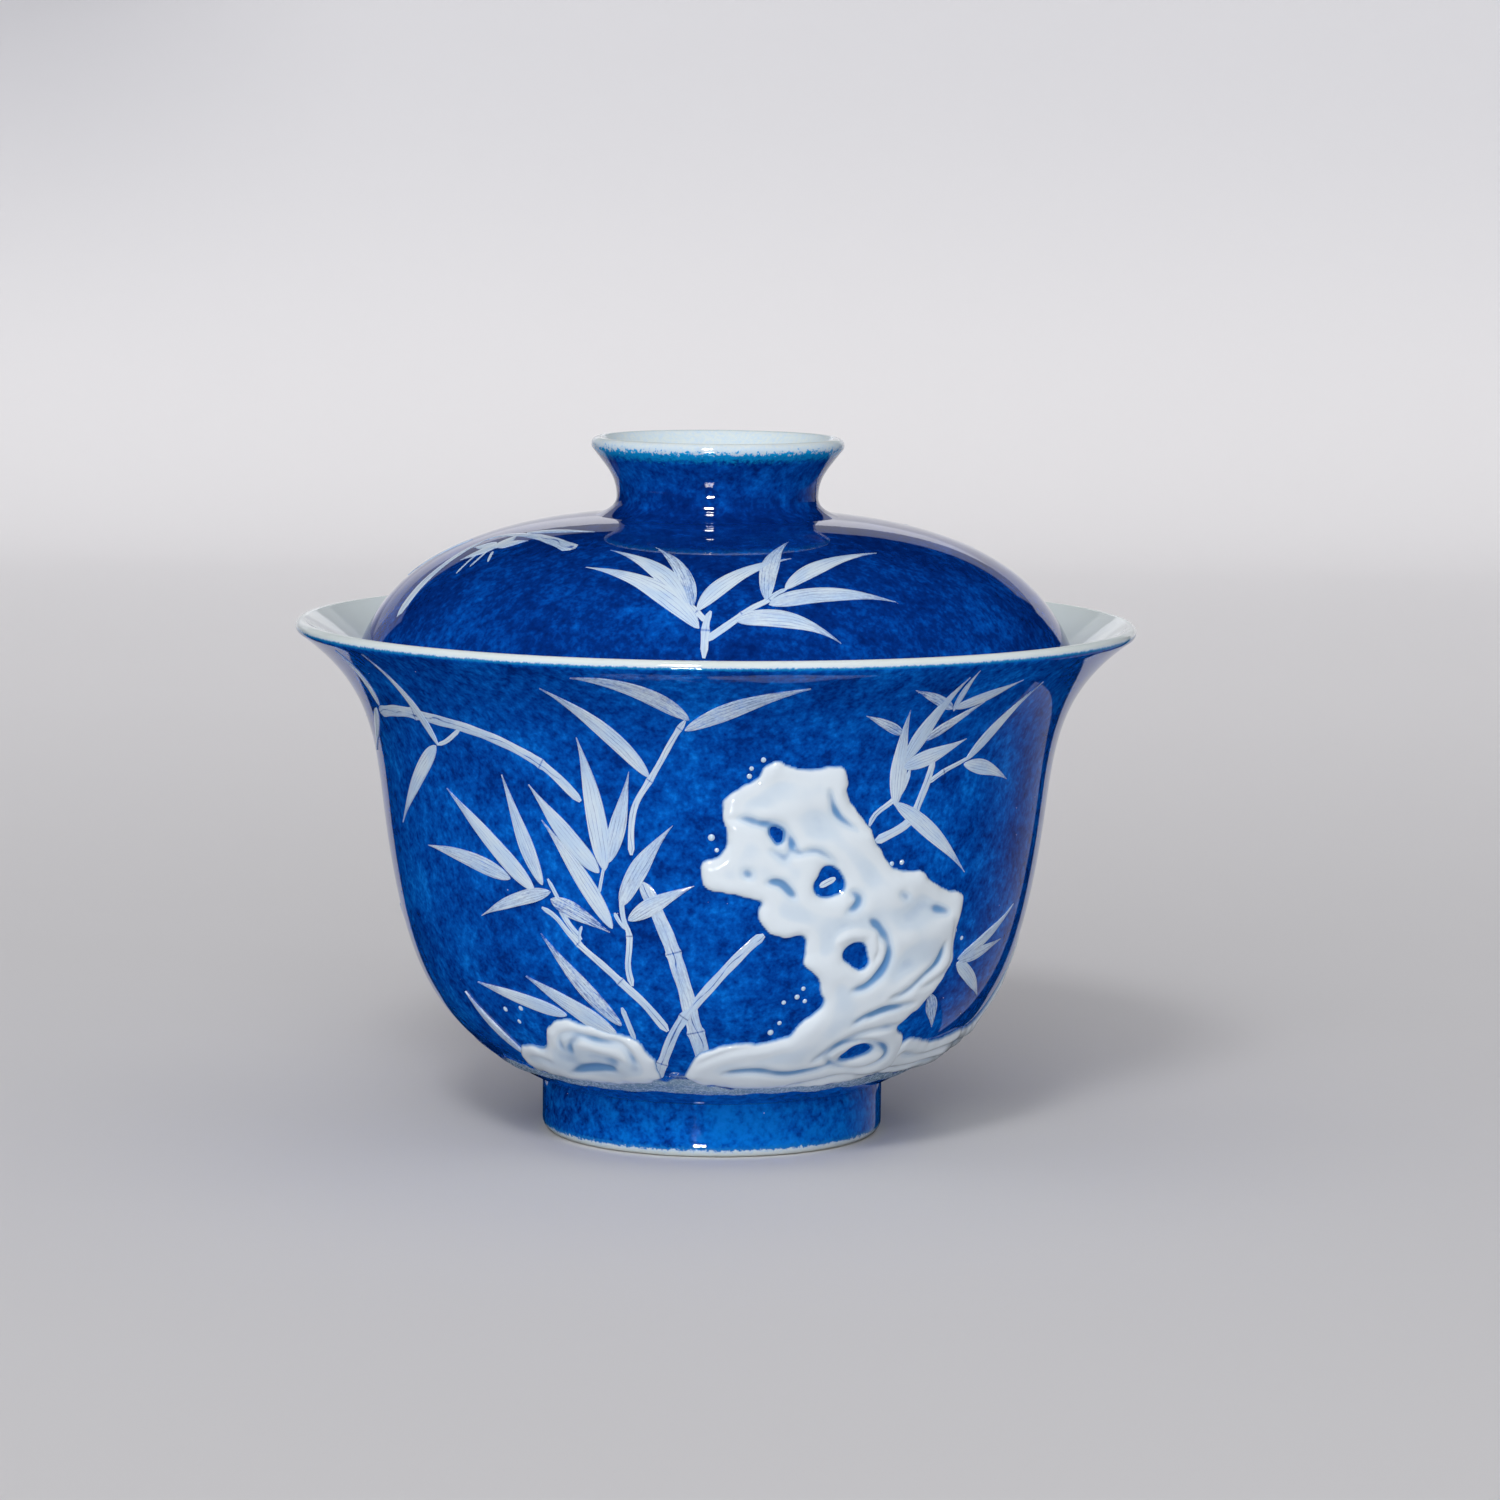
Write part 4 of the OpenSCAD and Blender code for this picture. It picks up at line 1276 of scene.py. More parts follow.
@dataclass
class ReliefRock:
    """A rock modelled in thick slip on the side of the bowl, in elevation at one azimuth. Millimetres.

    Attributes:
        name: the piece's name.
        node: the node that it stands for.
        azimuth: direction that it is drawn from, in degrees.
        outline: its outline, across and up.
        folds: its grooves and ridges.
        holes: the holes through it.
        thickness: how far it stands out at the most.
        milky: how much more glaze pools on it.
        edge: width over which it rises from its edge.
        cell: distance between its vertices.
        skirt: how far it runs on below the clay outside its edge.
        sunk: how deep its underside lies in the clay.
        wobble: how uneven its edge is.
        fullness: its usual height, as a share of the thickness.
        least: least height inside its edges.
        hollow_depth: depth of a hollow that is filled with pooled glaze.
        crease: edges that turn more than this many degrees stay sharp.
        seed: picks its unevenness.
    """

    name: str
    node: str
    azimuth: float
    outline: Sequence[Point]
    folds: Sequence[Fold]
    holes: Sequence[Hole] = ()
    thickness: float = 1.2
    milky: float = 0.0
    edge: float = 1.5
    cell: float = 0.26
    skirt: float = 0.55
    sunk: float = 0.6
    wobble: float = 0.07
    fullness: float = 0.66
    least: float = 0.10
    hollow_depth: float = 0.19
    crease: float = 80.0
    seed: int = 1

    def depths(self, points: np.ndarray) -> np.ndarray:
        """How far inside the rock's edges each point lies, negative outside and in the holes."""
        path = rounded(np.array(self.outline, float), 2, True)
        depth, _ = nearest_on(path, points, True)
        depth = np.where(inside(path, points), depth, -depth)
        depth = depth + self.wobble * soft_noise(points, 2.4, self.seed + 50)
        for hole in self.holes:
            turn = math.radians(hole.tilt)
            dx, dz = points[:, 0] - hole.across, points[:, 1] - hole.up
            u = (dx * math.cos(turn) + dz * math.sin(turn)) / hole.half_width
            v = (dz * math.cos(turn) - dx * math.sin(turn)) / hole.half_height
            way = np.arctan2(v, u)
            reach = 1 + 0.13 * np.sin(2 * way + hole.across) + 0.10 * np.sin(3 * way + hole.up)
            round_hole = (np.hypot(u, v) - reach) * min(hole.half_width, hole.half_height)
            depth = np.minimum(depth, round_hole * 0.8)
        return depth

    def heights(self, points: np.ndarray, depth: np.ndarray) -> np.ndarray:
        """Height of the slip above the clay at each point."""
        share = np.clip(depth / self.edge, 0.0, 1.0)
        body = self.thickness * (self.fullness + 0.10 * soft_noise(points, 7.0, self.seed))
        body = body + self.thickness * 0.015 * soft_noise(points, 3.2, self.seed + 20)
        height = body * np.sqrt(1 - (1 - share) ** 2)
        for fold in self.folds:
            line = rounded(np.array(fold.points, float), 2, False)
            away, share = nearest_on(line, points)
            taper = 0.25 + 0.75 * np.sqrt(np.sin(np.pi * np.clip(share, 0.02, 0.98)))
            width = fold.width * (0.35 + 0.45 * taper)
            groove = np.exp(-(away / width) ** 2) + 0.35 * np.exp(-(away / (2.2 * width)) ** 2)
            lips = 0.14 * np.exp(-((away - 2.4 * width) / (1.1 * width)) ** 2)
            height = height - 0.85 * fold.depth * taper * (groove - lips) * smoothstep(0.0, 0.8, depth)
        height = np.maximum(height, self.least * smoothstep(0.0, 0.3, depth))
        height = np.minimum(height, self.thickness)
        return np.where(depth > 0, height + 0.02, np.maximum(depth * 0.8, -0.3))

    def mesh(self, skin: BowlSkin) -> bpy.types.Object:
        """Makes the rock as a closed relief.

        Args:
            skin: the outside of the bowl.

        Returns:
            The new object.
        """
        outline = np.array(self.outline, float)
        low, high = outline.min(0) - 1.0, outline.max(0) + 1.0
        xs, zs = (np.arange(low[k], high[k], self.cell) for k in (0, 1))
        grid = np.stack(np.meshgrid(xs, zs), axis=-1)
        rows, columns = grid.shape[:2]
        points = grid.reshape(-1, 2)
        depth = self.depths(points)
        height = self.heights(points, depth)
        around = self.blurred(height.reshape(rows, columns), 1.1 / self.cell).ravel()
        hollow = (around - height) / self.hollow_depth
        hollow = self.blurred(hollow.reshape(rows, columns), 0.28 / self.cell).ravel()
        kept = depth > -self.skirt
        quads = np.array([q for q in grid_faces(rows, columns) if kept[list(q)].all()])
        used, flat = np.unique(quads, return_inverse=True)
        faces = [tuple(q) for q in flat.reshape(-1, 4).tolist()]
        x, z = points[used].T
        top = skin.place(self.azimuth, x, z, height[used])
        under = skin.place(self.azimuth, x, z, np.full(len(used), -self.sunk))
        cover = np.clip(height[used] / (0.55 * self.thickness), -0.2, 1.0)
        parts = MeshParts()
        add_shell(parts, top, under, faces, {"cover": cover, "hollow": hollow[used] + self.milky})
        return parts.finished(self.name, self.crease)

    @staticmethod
    def blurred(grid: np.ndarray, cells: float) -> np.ndarray:
        """The grid blurred by this many cells."""
        reach = int(3 * cells) + 1
        kernel = np.exp(-0.5 * (np.arange(-reach, reach + 1) / cells) ** 2)
        kernel /= kernel.sum()
        grid = np.pad(grid, reach, mode="edge")
        for axis in (1, 0):
            grid = np.apply_along_axis(np.convolve, axis, grid, kernel, "valid")
        return grid

    def build(self, skin: BowlSkin, material: bpy.types.Material) -> None:
        """Makes and dresses the rock."""
        dress(self.mesh(skin), material, Body.BOWL, Slot.ROCK, self.node)


@dataclass
class PearlScatter:
    """Small drops of slip beside the rocks, each an azimuth, a height and a radius."""

    pearls: Sequence[Triple]
    high: float = 0.26
    full_r: float = 0.45
    sunk: float = 0.4
    rings: int = 5
    steps: int = 16

    def build(self, skin: BowlSkin, material: bpy.types.Material) -> None:
        """Makes and dresses the drops, round and full like beads of cream."""
        parts = MeshParts()
        turn = np.linspace(0, 2 * math.pi, self.steps, endpoint=False)
        faces: list[Face] = []
        for k in range(self.steps):
            after = (k + 1) % self.steps
            faces.append((0, 1 + k, 1 + after))
            for a in range(1, 1 + (self.rings - 1) * self.steps, self.steps):
                b = a + self.steps
                faces.append((a + k, b + k, b + after, a + after))
        for azimuth, up, radius in self.pearls:
            reach = np.sin(np.linspace(0, math.pi / 2, self.rings + 1))[1:]
            share = np.concatenate([[0.0], np.repeat(reach, self.steps)])
            x = np.concatenate([[0.0], np.outer(radius * reach, np.cos(turn)).ravel()])
            z = up + np.concatenate([[0.0], np.outer(radius * reach, np.sin(turn)).ravel()])
            lift = self.high * np.sqrt(1 - share ** 2 * 0.999) * min(1.0, radius / self.full_r) - 0.02
            top = skin.place(azimuth, x, z, lift)
            under = skin.place(azimuth, x, z, np.full(len(x), -self.sunk))
            values = {"cover": np.clip(1.2 - share ** 3, 0.0, 1.0), "hollow": np.full(len(x), -0.3)}
            add_shell(parts, top, under, faces, values)
        dress(parts.finished("slip_pearl_drops"), material, Body.BOWL, Slot.ROCK, "slip_pearls")


@dataclass
class GroundBand:
    """The sandy slip round the base of the side, with a wavy upper edge."""

    thick: float = 0.3
    sunk: float = 0.5
    wave_r: float = 25.0
    grain_r: float = 28.0
    rows: int = 14
    steps: int = 480

    def build(self, skin: BowlSkin, material: bpy.types.Material) -> None:
        """Makes and dresses the band."""
        low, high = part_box("ground_band")
        bottom, top_edge = low.z / MM + 0.15, high.z / MM
        angle = np.linspace(0, 360, self.steps, endpoint=False)
        ring = np.column_stack([np.sin(np.radians(angle)), np.cos(np.radians(angle))]) * self.wave_r
        wave = 0.8 * soft_noise(ring, 9.0, 31) + 0.35 * soft_noise(ring, 2.2, 32)
        lower = bottom + 0.12 * soft_noise(ring, 5.0, 33)
        upper = top_edge - 0.3 + 0.7 * wave - 0.8 * smoothstep(-0.2, 0.5, ring[:, 0] / self.wave_r)
        share = np.linspace(0, 1, self.rows)
        z = lower[:, None] + (upper - lower)[:, None] * share[None, :]
        puff = np.sqrt(np.clip(1 - (2 * share - 1) ** 4, 0.0, 1.0))
        ripple = 0.06 * soft_noise(np.column_stack([np.repeat(ring, self.rows, 0), z.ravel() * 4]), 4.0, 34)
        lift = (self.thick - 0.1) * puff[None, :] + ripple.reshape(z.shape) * puff[None, :] - 0.02
        zero = np.zeros(self.rows)
        top = np.stack([skin.place(a, zero, z[i], lift[i]) for i, a in enumerate(angle)])
        under = np.stack([skin.place(a, zero, z[i], zero - self.sunk) for i, a in enumerate(angle)])
        around = np.repeat(np.radians(angle) * self.grain_r, self.rows)
        cover = np.tile(0.62 - 0.75 * smoothstep(0.35, 1.0, share), self.steps)
        parts = MeshParts()
        add_shell(parts, top.reshape(-1, 3), under.reshape(-1, 3), grid_faces(self.steps, self.rows, True), {
            "grain": np.column_stack([around, z.ravel(), np.zeros(z.size)]), "cover": cover,
        })
        dress(parts.finished("sandy_ground_band"), material, Body.BOWL, Slot.SANDY, "ground_band")


# ---------------------------------------------------------------- what is painted where
SCHOLAR_ROCK = ReliefRock(
    name="scholar_rock_relief", node="scholar_rock", azimuth=22.0, seed=3,
    outline=(
        (-14.5, 10.4), (-15, 15.5), (-13.5, 16.5), (-11.5, 17.5), (-7.5, 17.5), (-5.5, 18), (-4, 18.5),
        (-3, 20.5), (-1.5, 21.5), (-0.5, 23), (-1.5, 24.5), (-1.5, 26), (-3, 27), (-4, 28), (-4, 30.5),
        (-4.5, 32), (-6.5, 31.5), (-8.5, 32), (-10, 33.5), (-10.5, 35), (-10, 36.5), (-12.5, 37),
        (-15, 37.5), (-17, 38), (-17.5, 40), (-17.5, 41.5), (-15.5, 42), (-14.5, 44), (-15, 46),
        (-15.5, 47.5), (-15.5, 49.5), (-13.5, 51), (-11.5, 52), (-11, 53.5), (-9.5, 54.5), (-7.5, 53.5),
        (-5, 53), (-3, 53.5), (-1, 53.5), (0, 52), (0, 49.5), (1.5, 47.5), (3.5, 45.5), (4, 44),
        (5.5, 42), (7, 40), (9, 39.5), (11.5, 39.5), (13, 38), (15.5, 36.5), (18.5, 36), (19, 34.5),
        (18.5, 33), (18, 31), (18, 29), (18.5, 27), (17, 24.5), (15.5, 22.5), (13.5, 20.5), (11.5, 19),
        (11, 18.5), (13.5, 16.5), (13.5, 10.4),
    ),
    holes=(
        Hole(-8.7, 44.9, 0.8, 1.0, 20), Hole(-1.6, 38.6, 2.2, 1.7, -35), Hole(3.0, 28.9, 1.8, 1.6, -15),
        Hole(6.1, 15.5, 2.0, 0.95, 8),
    ),
    folds=(
        Fold(0.35, 0.7, ((-14.5, 47), (-12.5, 47), (-11, 46.5), (-8.5, 46), (-7, 44.5), (-6, 42.5))),
        Fold(0.30, 0.8, ((-7, 44), (-7, 43), (-7.5, 42), (-8.5, 42.5), (-9.5, 43))),
        Fold(0.30, 0.6, ((-6, 42.5), (-4, 43), (-2, 42), (-0.5, 40.5))),
        Fold(0.35, 0.8, ((1, 37.5), (2.5, 36.5), (2, 35.5), (1, 35))),
        Fold(0.35, 0.6, ((-9.5, 39), (-8, 39), (-7, 38), (-6, 37))),
        Fold(0.25, 0.7, ((-12.5, 40.5), (-11.5, 39.5))),
        Fold(-0.25, 0.8, ((0, 31), (1.5, 32), (3.5, 31.5))),
        Fold(0.40, 0.7, ((4.5, 33.5), (6.5, 31.5), (7.5, 29.5), (7, 27), (5, 25), (3, 24.5))),
        Fold(0.25, 0.5, ((5.5, 31.5), (6, 29.5), (5.5, 28))),
        Fold(0.35, 0.5, (
            (1.5, 15.5), (3, 17), (6, 17.5), (9.5, 16.5), (11, 15), (9.5, 13.5), (6.5, 13), (3, 14),
            (1.5, 15.5))),
        Fold(0.30, 0.6, ((0, 15), (2.5, 17.5), (7.5, 19), (11, 19))),
        Fold(0.35, 0.6, ((-2.5, 50.5), (-1.5, 47.5), (0.5, 46), (3, 44.5))),
        Fold(0.30, 0.6, ((17, 33), (18, 29.5), (18, 26.5), (16.5, 25), (13, 24))),
        Fold(0.35, 0.6, ((16, 29.5), (15.5, 27), (13, 25.5), (10.5, 23.5), (8.5, 23))),
        Fold(0.30, 0.5, ((12.5, 22), (8.5, 22), (5.5, 21), (4, 20))),
        Fold(0.25, 0.4, ((10.5, 21.5), (8, 21.5), (6, 20.5))),
        Fold(0.25, 0.7, ((13.5, 34.5), (15, 34), (16.5, 33.5))),
        Fold(0.25, 0.7, ((8, 37), (9.5, 36))),
        Fold(0.25, 0.6, ((-14.5, 14.5), (-12.5, 16), (-10, 17), (-7.5, 17.5), (-4, 18.5))),
        Fold(0.35, 0.5, ((-10.5, 13.5), (-7, 14), (-3, 13), (0, 13.5), (2.5, 14))),
        Fold(0.35, 0.5, ((-1.5, 11), (1.5, 11.5), (5, 12.5), (10, 11.5), (14.5, 12.5))),
    ),
)
LEFT_BOULDER = ReliefRock(
    name="left_boulder_relief", node="left_boulder", azimuth=-28.0, seed=5, thickness=1.0, milky=0.42,
    outline=(
        (-11.5, 10.4), (-11.5, 14), (-9, 15.5), (-5.5, 15), (-4.5, 18), (-2.5, 19.5), (-0.5, 20), (3.5, 19),
        (7.5, 18), (8.5, 17.5), (9, 15.5), (9.5, 14.5), (8, 10.4),
    ),
    folds=(
        Fold(0.30, 0.6, (
            (-2.5, 16), (-2.5, 17.5), (-0.5, 18.5), (1.5, 18), (4, 17.5), (6, 17.5), (7, 16.5), (7, 15))),
        Fold(0.25, 0.5, ((-1.5, 15.5), (-1, 17), (0.5, 17.5))),
        Fold(-0.2, 0.8, ((0.5, 17), (2.5, 16.5), (5, 16), (6, 15), (4.5, 13.5))),
        Fold(0.30, 0.5, ((-3.5, 12), (0.5, 13.5), (3.5, 13.5))),
        Fold(0.20, 0.6, ((-10.5, 13), (-8, 14), (-5.5, 13.5))),
    ),
)
SIDE_ROCK = ReliefRock(
    name="side_rock_relief", node="side_rock", azimuth=80.0, seed=8,
    outline=(
        (-21, 10.4), (-21, 16.5), (-18.5, 16.5), (-15, 15.2), (-11, 15.4), (-8.5, 16), (-4, 15.4), (0, 15.8),
        (3, 17.5), (5.5, 20.5), (8, 24.5), (10.5, 27.5), (13, 27), (14.5, 24), (16, 21), (19, 18.5),
        (21, 15.5), (22, 10.4),
    ),
    holes=(Hole(10.2, 20.8, 1.2, 1.6, 15),),
    folds=(
        Fold(0.40, 0.5, ((-19, 14.6), (-15, 13.6), (-11, 14), (-7, 14.3), (-3, 13.6), (1, 14), (5, 15.5))),
        Fold(0.40, 0.4, ((-20, 12.6), (-16, 12.2), (-11, 12.6), (-6, 12.2), (0, 12.4), (6, 13.2))),
        Fold(0.35, 0.5, ((4.5, 17.5), (6.5, 20.5), (8.5, 23.5), (10.5, 25.5))),
        Fold(0.30, 0.6, ((13, 24.5), (13.2, 21.5), (14.5, 18.5), (17.5, 17))),
        Fold(0.30, 0.5, ((8, 14.5), (11, 16), (15, 15), (19, 14))),
        Fold(0.35, 0.4, ((6, 12.2), (10, 13), (14, 12.4), (19, 12.2))),
    ),
)
BACK_BOULDER = ReliefRock(
    name="back_boulder_relief", node="back_boulder", azimuth=190.0, seed=11, thickness=1.1,
    outline=(
        (-15, 10.4), (-14, 15), (-11, 16.5), (-8, 20), (-5, 21), (-2.5, 24.5), (1, 25), (3, 22), (6, 20.5),
        (8, 17), (12, 16), (14, 14), (14.5, 10.4),
    ),
    holes=(Hole(-1.2, 18.6, 1.5, 1.1, 20),),
    folds=(
        Fold(0.30, 0.6, ((-12, 14), (-8, 16.5), (-5, 18), (-3, 21), (-1, 22.5))),
        Fold(0.30, 0.6, ((2, 21), (2.8, 18.5), (6, 17), (9, 14.5))),
        Fold(0.30, 0.5, ((-6, 13), (-2, 14.5), (3, 14), (7, 13))),
        Fold(-0.2, 0.9, ((-6.5, 18), (-4.5, 19.5))),
    ),
)
PEARLS = (
    (-44, 20, 0.35), (-41.5, 18.5, 0.3), (-39.5, 20.5, 0.35), (7.9, 54.4, 0.35), (6.1, 53.3, 0.3),
    (5.8, 52.3, 0.35), (-0.1, 44.5, 0.45), (0.8, 42.9, 0.3), (16.9, 24.8, 0.3), (15.9, 23.7, 0.35),
    (17.5, 23.1, 0.3), (13.5, 23, 0.3), (13.2, 20.2, 0.3), (11.7, 18.9, 0.4), (31.3, 40.5, 0.35),
    (33.3, 40.6, 0.35), (48, 30.8, 0.35), (50.4, 29.6, 0.3), (112, 27, 0.5), (115, 24, 0.35),
    (172, 24, 0.5), (177, 26.5, 0.35), (201, 24, 0.4), (206, 19.5, 0.3), (215, 18, 0.35),
)
FRONT_CANES = (
    Cane(-45, 1.5, 1.2, (
        (-17, 57), (-9.5, 58), (-3.5, 57.5), (2, 57), (6.5, 56), (10.5, 54.5), (14, 52.5), (17.5, 48.5)),
        (0.27, 0.83), 0.2),
    Cane(-45, 0.6, 0.5, ((1.5, 56.5), (-2, 54.5), (-4, 54))),
    Cane(-10, 0.8, 0.65, (
        (-2.5, 42), (-2.5, 45.5), (-2, 48.5), (0, 51.5), (1.5, 54), (3.5, 57.5), (5, 59.5)), (0.52, 0.93)),
    Cane(-20, 0.6, 1.2, (
        (-7.5, 34.5), (-5.5, 33.5), (-4, 31.5), (-2, 29.5), (0.5, 27.5), (3, 25), (5.5, 22.5), (7.5, 19)),
        (0.3, 0.62)),
    Cane(-20, 0.6, 0.8, (
        (3.5, 36.9), (3.5, 33.7), (4.3, 32), (4.1, 29.9), (3.6, 27.5), (4, 25)), (0.45,), 0.05),
    Cane(-20, 0.5, 0.8, ((-6.4, 38.3), (-5, 35.8), (-4.5, 33.5), (-2.2, 30.7)), (0.5,), 0.05),
    Cane(-20, 0.4, 0.4, ((1.5, 40.6), (1, 38.6), (0.6, 36.8)), (), 0.05),
    Cane(-20, 0.5, 0.4, ((2.5, 34.5), (3, 33.4), (3.8, 32.4)), (), 0.05),
    Cane(-20, 0.4, 0.4, ((-2, 32.5), (-2.5, 31.3), (-2.5, 30.2)), (), 0.05),
    Cane(-5, 1.7, 2.0, (
        (-5, 38.5), (-4, 37), (-3, 34.5), (-1.5, 31), (-0.5, 27.5), (0.5, 24), (1, 20.5), (2, 16.5),
        (2.5, 11)),
        (0.34, 0.72), 0.3),
    Cane(-2, 1.3, 1.2, (
        (-6, 11), (-5, 14), (-3.5, 18.5), (-2, 21), (1.5, 25.5), (6.5, 31), (8, 32)), (0.13, 0.42), 0.2),
    Cane(-16, 0.7, 0.6, ((-0.5, 22), (0, 20), (0.5, 17.5))),
    Cane(22, 0.8, 0.8, ((-2.8, 38.1), (-1.8, 38.6), (-0.8, 39.1))),
)
FRONT_LEAVES = (
    Leaf(-50, 54.5, 112, 12, 1.3, -10), Leaf(-51, 53.5, -137, 16, 2.1, 14, 0.05),
    Leaf(-65, 58.5, 77, 7, 1.3), Leaf(-68, 57, -144, 10.5, 1.2), Leaf(-10.5, 52.5, 139, 16.5, 1.9, 24, 0.15),
    Leaf(-4, 60, 160, 15, 1.8, 40, 0.45), Leaf(-3.5, 58.5, 20, 16, 1.8, -18, 0.4),
    Leaf(-30, 38, 110, 14, 1.9, -8, 0.15), Leaf(-37, 38, 170, 15, 2.0, 20, 0.3),
    Leaf(-32, 37, 139, 17.5, 2.2, 6, 0.05), Leaf(-17.5, 33, 124, 15.5, 2.0, 12),
    Leaf(-19.5, 40, 131, 13.5, 2.2, -6, 0.05), Leaf(-17, 41.5, 75, 11.5, 1.9, 4, 0.2),
    Leaf(-18, 40.5, 99, 16.5, 2.5, 4, 0.05), Leaf(-15, 36, 57, 12, 2.2, -22, 0.25),
    Leaf(-29, 36.5, 200, 11.5, 1.7, 18, 0.35), Leaf(-27.5, 35.5, -26, 8, 1.9, -10, 0.75),
    Leaf(-13.5, 34, 29, 9, 1.9, -12, 0.25), Leaf(-18, 20, 130, 14.5, 1.8, -6, 0.6),
    Leaf(-19.5, 18.5, 149, 13, 2.1, 6), Leaf(-29.5, 20.5, 168, 13.5, 1.6, 6),
    Leaf(-47.5, 14, 124, 9, 1.4, 0, 0.3),
)
RIGHT_CANES = (
    Cane(33, 0.7, 0.7, ((-5, 45.5), (-4.5, 47), (-2, 48.5), (-0.5, 50), (0, 52.5)), (0.55,)),
    Cane(33, 1.2, 1.0, ((-4, 43.5), (1, 45.5), (2, 48), (3, 50.5), (3.5, 53.5)), (0.5,)),
    Cane(33, 0.7, 0.5, ((3, 50.5), (5.5, 52), (8.5, 53), (9.5, 53.5)), (0.4,)),
)
RIGHT_LEAVES = (
    Leaf(37, 60.5, 159, 7.5, 1.1, 10, 0.5), Leaf(38, 60.5, 95, 5, 0.9, 0, 0.3),
    Leaf(38.5, 60.5, 18, 9.5, 1.4, 10, 0.2), Leaf(29.5, 57.5, 156, 6, 1.1, 10, 0.5),
    Leaf(35, 56.5, 31, 8.5, 1.2, 0, 0.6), Leaf(32, 54, 67, 11.5, 2.0, 6), Leaf(31, 48.5, 94, 12, 2.1, 8),
    Leaf(32, 53, 18, 9.5, 1.9, 8), Leaf(31.5, 48, -38, 15.5, 2.0, -14),
    Leaf(45, 53.5, 48, 12.5, 1.5, 6, 0.15), Leaf(45, 52.5, -16, 9.5, 1.7, -20, 0.15),
    Leaf(51.5, 27, 25, 13, 1.4, 10, 0.2), Leaf(52, 26.5, 10, 9.5, 1.4, 0, 0.3),
    Leaf(51.5, 26, -33, 10, 1.7, -10), Leaf(46, 22, -54, 5.5, 1.6, 0, 0.5),
)
BACK_CANES = (
    Cane(150, 1.9, 1.5, (
        (-4, 11), (-3, 16), (-1, 22), (0.5, 29), (1, 36), (3, 43), (6, 50), (10, 55.5)),
        (0.22, 0.5, 0.78), 0.25),
    Cane(158, 1.2, 1.0, ((5, 11), (3.5, 17), (0.5, 24), (-4, 31), (-7, 36)), (0.35, 0.7), 0.2),
    Cane(230, 1.4, 1.0, ((6, 11), (4, 18), (3, 26), (0, 33), (-5, 40), (-11, 45)), (0.3, 0.62), 0.2),
    Cane(150, 0.7, 0.5, ((1, 34), (-2, 37), (-6, 39)), (0.5,)),
    Cane(250, 0.8, 0.6, ((-9, 36), (-4, 41), (0, 47), (2, 52)), (0.4,)),
    Cane(171, 0.9, 0.6, (
        (-14.5, 33.5), (-8, 35.5), (0, 37.2), (4, 39.8), (9, 42.5), (14.3, 45)), (0.3, 0.62)),
    Cane(112, 1.2, 0.8, ((-3.5, 14.5), (-3.2, 24), (-2, 34), (-2.5, 43), (-6, 50.5)), (0.28, 0.6), 0.2),
    Cane(112, 0.6, 0.5, ((-2.2, 37), (1, 41), (4.6, 44)), (0.5,)),
    Cane(230, 0.7, 0.6, ((3.5, 24), (5.2, 30), (6.5, 36)), (0.5,)),
    Cane(262, 0.8, 0.6, ((-4, 12.5), (-2.5, 17), (0.5, 22)), (0.5,)),
)
BACK_LEAVES = (
    Leaf(104, 52, 55, 11, 1.7, 8), Leaf(105, 51, 120, 13, 2.0, 12), Leaf(106, 50, -30, 12, 1.8, -14, 0.2),
    Leaf(118, 44, 165, 14, 2.1, 16, 0.15), Leaf(140, 38.5, 140, 15, 2.2, 8, 0.05),
    Leaf(141, 38, 185, 13, 1.9, 16, 0.3), Leaf(142, 37.5, 100, 12, 2.0, -6),
    Leaf(146, 33, 215, 11, 1.8, 14, 0.2), Leaf(155, 44, 25, 14, 2.0, -12),
    Leaf(160, 50, 160, 15, 1.8, 20, 0.25), Leaf(164, 55, 40, 12, 1.7, -10, 0.2),
    Leaf(165, 54, -20, 14, 2.0, -16), Leaf(171, 37, 60, 13, 2.1, -8), Leaf(176, 40, 10, 15, 2.0, -14, 0.2),
    Leaf(190, 46, 110, 15, 2.2, 6, 0.05), Leaf(192, 45, 150, 13, 1.8, 12, 0.15),
    Leaf(194, 44, 70, 12, 1.9, -8, 0.2), Leaf(213, 44, 200, 12, 1.8, 16, 0.3),
    Leaf(215, 45.5, 130, 15, 2.1, 8), Leaf(217, 46, 85, 13, 1.9, -4), Leaf(236, 30, 30, 13, 2.0, -10, 0.15),
    Leaf(238, 32, 70, 12, 1.8, -6), Leaf(251, 52, 115, 12, 1.7, 10, 0.2), Leaf(253, 52.5, 60, 11, 1.6, -6),
    Leaf(254, 51, 15, 14, 2.0, -16, 0.15), Leaf(240, 20, 145, 12, 1.7, 8, 0.4),
    Leaf(262, 22, 110, 12, 1.7, 6), Leaf(264, 21, 60, 10, 1.5, -6, 0.2),
)
LID_FRONT_CANES = (
    Cane(0, 1.0, 0.75, ((-1.2, 45.3), (-1.1, 43.9), (-1, 42.2), (-0.4, 41)), (0.5,), 0.1),
    Cane(0, 0.75, 0.5, ((-1, 42.2), (-2.2, 41), (-3.2, 39.8)), (0.5,), 0.1),
    Cane(0, 0.75, 0.55, (
        (-1, 44), (1, 43), (3, 41.7), (4.5, 40.4), (6.5, 39.2), (7.5, 37.9), (9, 36.7)), (0.42, 0.75), 0.1),
)
